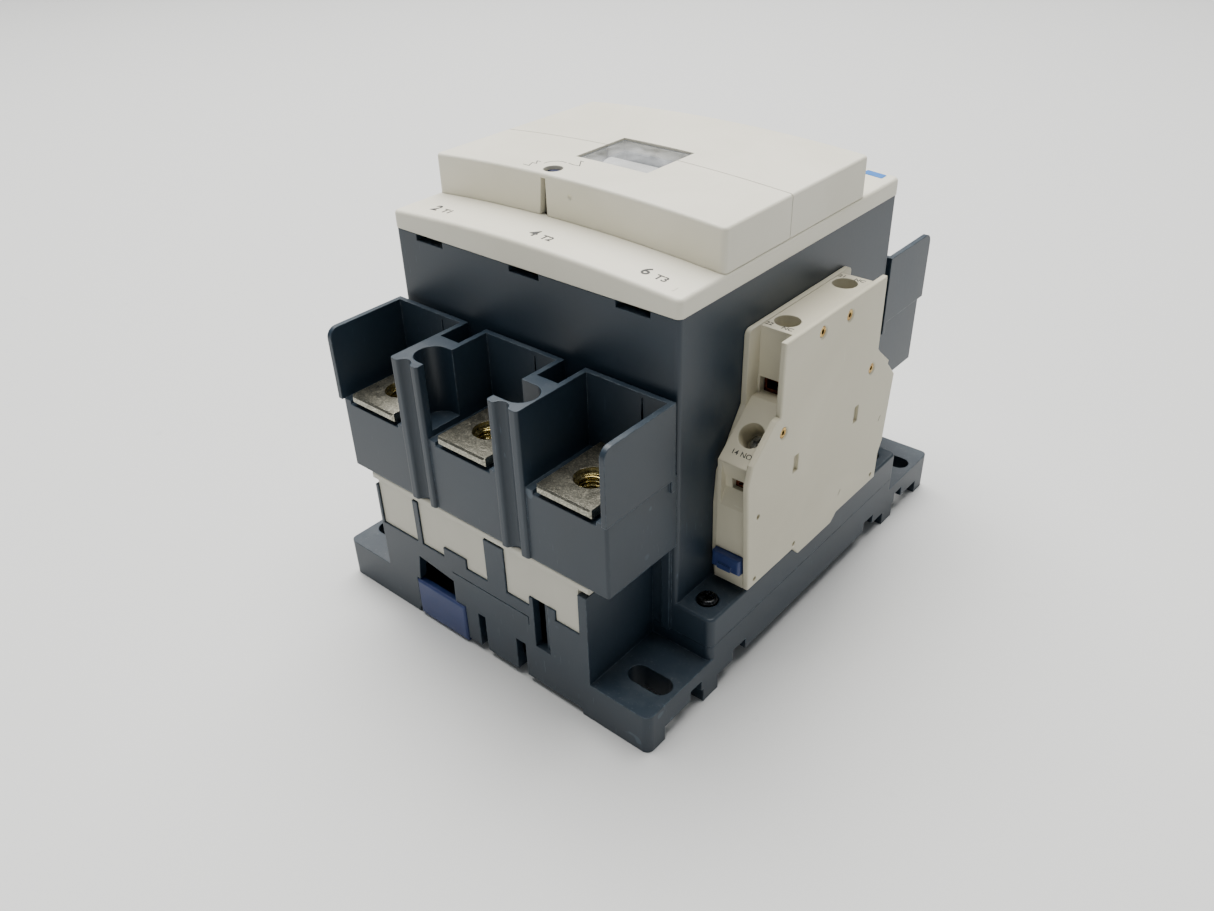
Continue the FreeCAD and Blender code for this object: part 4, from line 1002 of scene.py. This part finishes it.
@dataclass
class NutThreads:
    """Screw threads inside the captive nuts of all six terminals.

    The ridge's half foot and half crest are shares of the pitch; fade is its run-out in steps.
    """

    pitch: float = 1.25 * MM
    core: float = 3.42 * MM
    crest: float = 2.98 * MM
    sides: int = 40
    half_foot: float = 0.42
    half_crest: float = 0.06
    fade: int = 12

    def build(self) -> None:
        """Cut a thread for every terminal."""
        for end, y in (("load", -TERMINAL_Y), ("line", TERMINAL_Y)):
            node = f"terminal_nuts_{end}"
            low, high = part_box(node)
            for i, x in enumerate(POLES):
                mesh = self._ridge(Vector((x, y, low.z + 0.2 * MM)), high.z - low.z - 0.9 * MM)
                add_piece(f"nut_thread_{end}_{i + 1}", mesh, FinishName.YELLOW, Body.FRAME)

    def _ridge(self, foot: Vector, height: float) -> bpy.types.Mesh:
        """Helical ridge with a closed triangular section.

        Args:
            foot: Lowest point of the thread's axis.
            height: Length of the thread.

        Returns:
            The ridge as a mesh.
        """
        turns = height / self.pitch
        count = int(turns * self.sides)
        shape = bmesh.new()
        rows = []
        for k in range(count + 1):
            angle = 2 * math.pi * k / self.sides
            rise = self.pitch * k / self.sides
            full = min(1.0, k / self.fade, (count - k) / self.fade)
            crest = self.core + (self.crest - self.core) * full
            row = []
            for radius, step in ((self.core, -self.half_foot), (crest, -self.half_crest),
                                 (crest, self.half_crest), (self.core, self.half_foot)):
                x, y = foot.x + radius * math.cos(angle), foot.y + radius * math.sin(angle)
                z = foot.z + rise + (self.half_foot + step) * self.pitch
                row.append(shape.verts.new((x, y, z)))
            rows.append(row)
        for a, b in zip(rows, rows[1:]):
            for i in range(4):
                j = (i + 1) % 4
                shape.faces.new((a[i], a[j], b[j], b[i]))
        shape.faces.new(rows[0])
        shape.faces.new(rows[-1])
        mesh = mesh_of(shape, "nut_thread", True)
        mesh.shade_smooth()
        return mesh


@dataclass
class CoilSpring:
    """A copy of a spring's CAD node, shown in place of that node."""

    node: str
    body: Body
    joint: str
    travel: float
    from_top: bool = False

    def build(self) -> None:
        """Copy the spring and hide its CAD node."""
        low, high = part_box(self.node)
        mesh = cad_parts[self.node].data.copy()
        piece = add_piece(f"{self.node}_coil", mesh, FinishName.SPRING, self.body)
        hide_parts(self.node)
        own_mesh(piece)


def springs() -> list[CoilSpring]:
    """Every spring of the contactor, with a little more travel than its joint has."""
    found = [CoilSpring("return_springs", Body.FRAME, "carrier_travel", CARRIER_STROKE),
             CoilSpring("aux_spring", Body.FRAME, "aux_slide_travel", CARRIER_STROKE)]
    for i in (1, 2, 3):
        found.append(CoilSpring(f"contact_spring_{i}", Body.CARRIER, f"bridge_{i}_lift", BRIDGE_LIFT, True))
    return found


@dataclass
class WindowShadeRim:
    """Dark line of painted shade round the pane, standing in for the shade in the gap between the pane and
    the lids.
    """

    width: float = 0.45 * MM
    rise: float = 0.04 * MM

    def build(self) -> None:
        """Lay one flat bar along each side of the pane."""
        low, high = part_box("indicator_window")
        inner = (low.x + self.width, low.y + self.width, high.x - self.width, high.y - self.width)
        sides = {
            "left": (low.x, inner[1], inner[0], inner[3]), "right": (inner[2], inner[1], high.x, inner[3]),
            "near": (low.x, low.y, high.x, inner[1]), "far": (low.x, inner[3], high.x, high.y)}
        for side, (x0, y0, x1, y1) in sides.items():
            shape = bmesh.new()
            bmesh.ops.create_cube(shape, size=1.0)
            middle = Vector(((x0 + x1) / 2, (y0 + y1) / 2, high.z + self.rise / 2))
            stretch = Matrix.Diagonal((x1 - x0, y1 - y0, self.rise, 1.0))
            bmesh.ops.transform(shape, matrix=Matrix.Translation(middle) @ stretch, verts=shape.verts)
            mesh = mesh_of(shape, "window_shade_rim")
            add_piece(f"window_shade_rim_{side}", mesh, FinishName.RIM, Body.FRAME)


@dataclass
class Housing:
    """Dresses the CAD nodes, and adds the marks, threads, painted shade rim of the window and springs."""

    cover: CoverPrint = field(default_factory=CoverPrint)
    aux: AuxPrint = field(default_factory=AuxPrint)
    threads: NutThreads = field(default_factory=NutThreads)
    rim: WindowShadeRim = field(default_factory=WindowShadeRim)

    def build(self) -> None:
        """Dress every node and build the added pieces."""
        for name, node in sorted(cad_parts.items()):
            finish = finish_of(name)
            node.data.materials.clear()
            node.data.materials.append(MATERIALS[finish])
            LOG.info("node %s: %s", name, finish.value)
        self.cover.build()
        self.aux.build()
        self.threads.build()
        self.rim.build()
        for spring in springs():
            spring.build()


@dataclass
class Studio:
    """Pale floor, soft lights and the camera; degrees, and millimetres for the eye and lens."""

    azimuth: float = 41.303
    elevation: float = 33.383
    roll: float = -1.883
    eye: Point = (171.439, -217.281, 210.619)
    sensor: float = 36.0
    lens: float = 30.3642
    floor_half: float = 3.0
    floor_drop: float = 0.1 * MM

    def build(self) -> None:
        """Set up the stage."""
        self._floor()
        self._lights()
        self._camera()

    def _floor(self) -> None:
        """Wide floor under the contactor."""
        shape = bmesh.new()
        bmesh.ops.create_grid(shape, x_segments=24, y_segments=24, size=self.floor_half)
        mesh = mesh_of(shape, "floor")
        made = bpy.data.objects.new("floor", mesh)
        made.location.z = -self.floor_drop
        bpy.context.scene.collection.objects.link(made)
        mesh.materials.append(MATERIALS[FinishName.FLOOR])

    def _lights(self) -> None:
        """Broad overhead softbox, a weak front fill and an even sky."""
        world = bpy.data.worlds.new("studio")
        bpy.context.scene.world = world
        world.use_nodes = True
        sky = world.node_tree.nodes["Background"]
        sky.inputs["Color"].default_value = (0.9, 0.95, 1.0, 1.0)
        sky.inputs["Strength"].default_value = 0.2
        for name, place, aim, size, power in (
                ("softbox", (-0.4, 0.35, 1.5), (-0.1, 0.0, 0.0), 1.8, 78.0),
                ("fill", (0.6, -1.2, 0.7), (0.0, 0.0, 0.06), 1.0, 0.5)):
            light = bpy.data.lights.new(name, "AREA")
            light.shape = "SQUARE"
            light.size = size
            light.energy = power
            light.color = (1.0, 0.985, 0.96)
            lamp = bpy.data.objects.new(name, light)
            lamp.location = place
            aimed = (Vector(aim) - Vector(place)).to_track_quat("-Z", "Y")
            lamp.rotation_euler = aimed.to_euler()
            bpy.context.scene.collection.objects.link(lamp)

    def _camera(self) -> None:
        """Camera at its eye point, turned by azimuth, elevation and roll."""
        a, e, r = (math.radians(v) for v in (self.azimuth, self.elevation, self.roll))
        back = Vector((math.sin(a) * math.cos(e), -math.cos(a) * math.cos(e), math.sin(e)))
        level = Vector((0, 0, 1)).cross(back).normalized()
        rise = back.cross(level)
        right = level * math.cos(r) + rise * math.sin(r)
        up = rise * math.cos(r) - level * math.sin(r)
        turn = Matrix((right, up, back)).transposed().to_4x4()
        data = bpy.data.cameras.new("camera")
        data.sensor_width = self.sensor
        data.lens = self.lens
        data.clip_start = 0.01
        made = bpy.data.objects.new("camera", data)
        made.matrix_world = Matrix.Translation(Vector(self.eye) * MM) @ turn
        bpy.context.scene.collection.objects.link(made)
        bpy.context.scene.camera = made


def main() -> None:
    """Build the stage and the looks."""
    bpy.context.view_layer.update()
    Studio().build()
    Housing().build()


if __name__ == "__main__":
    main()
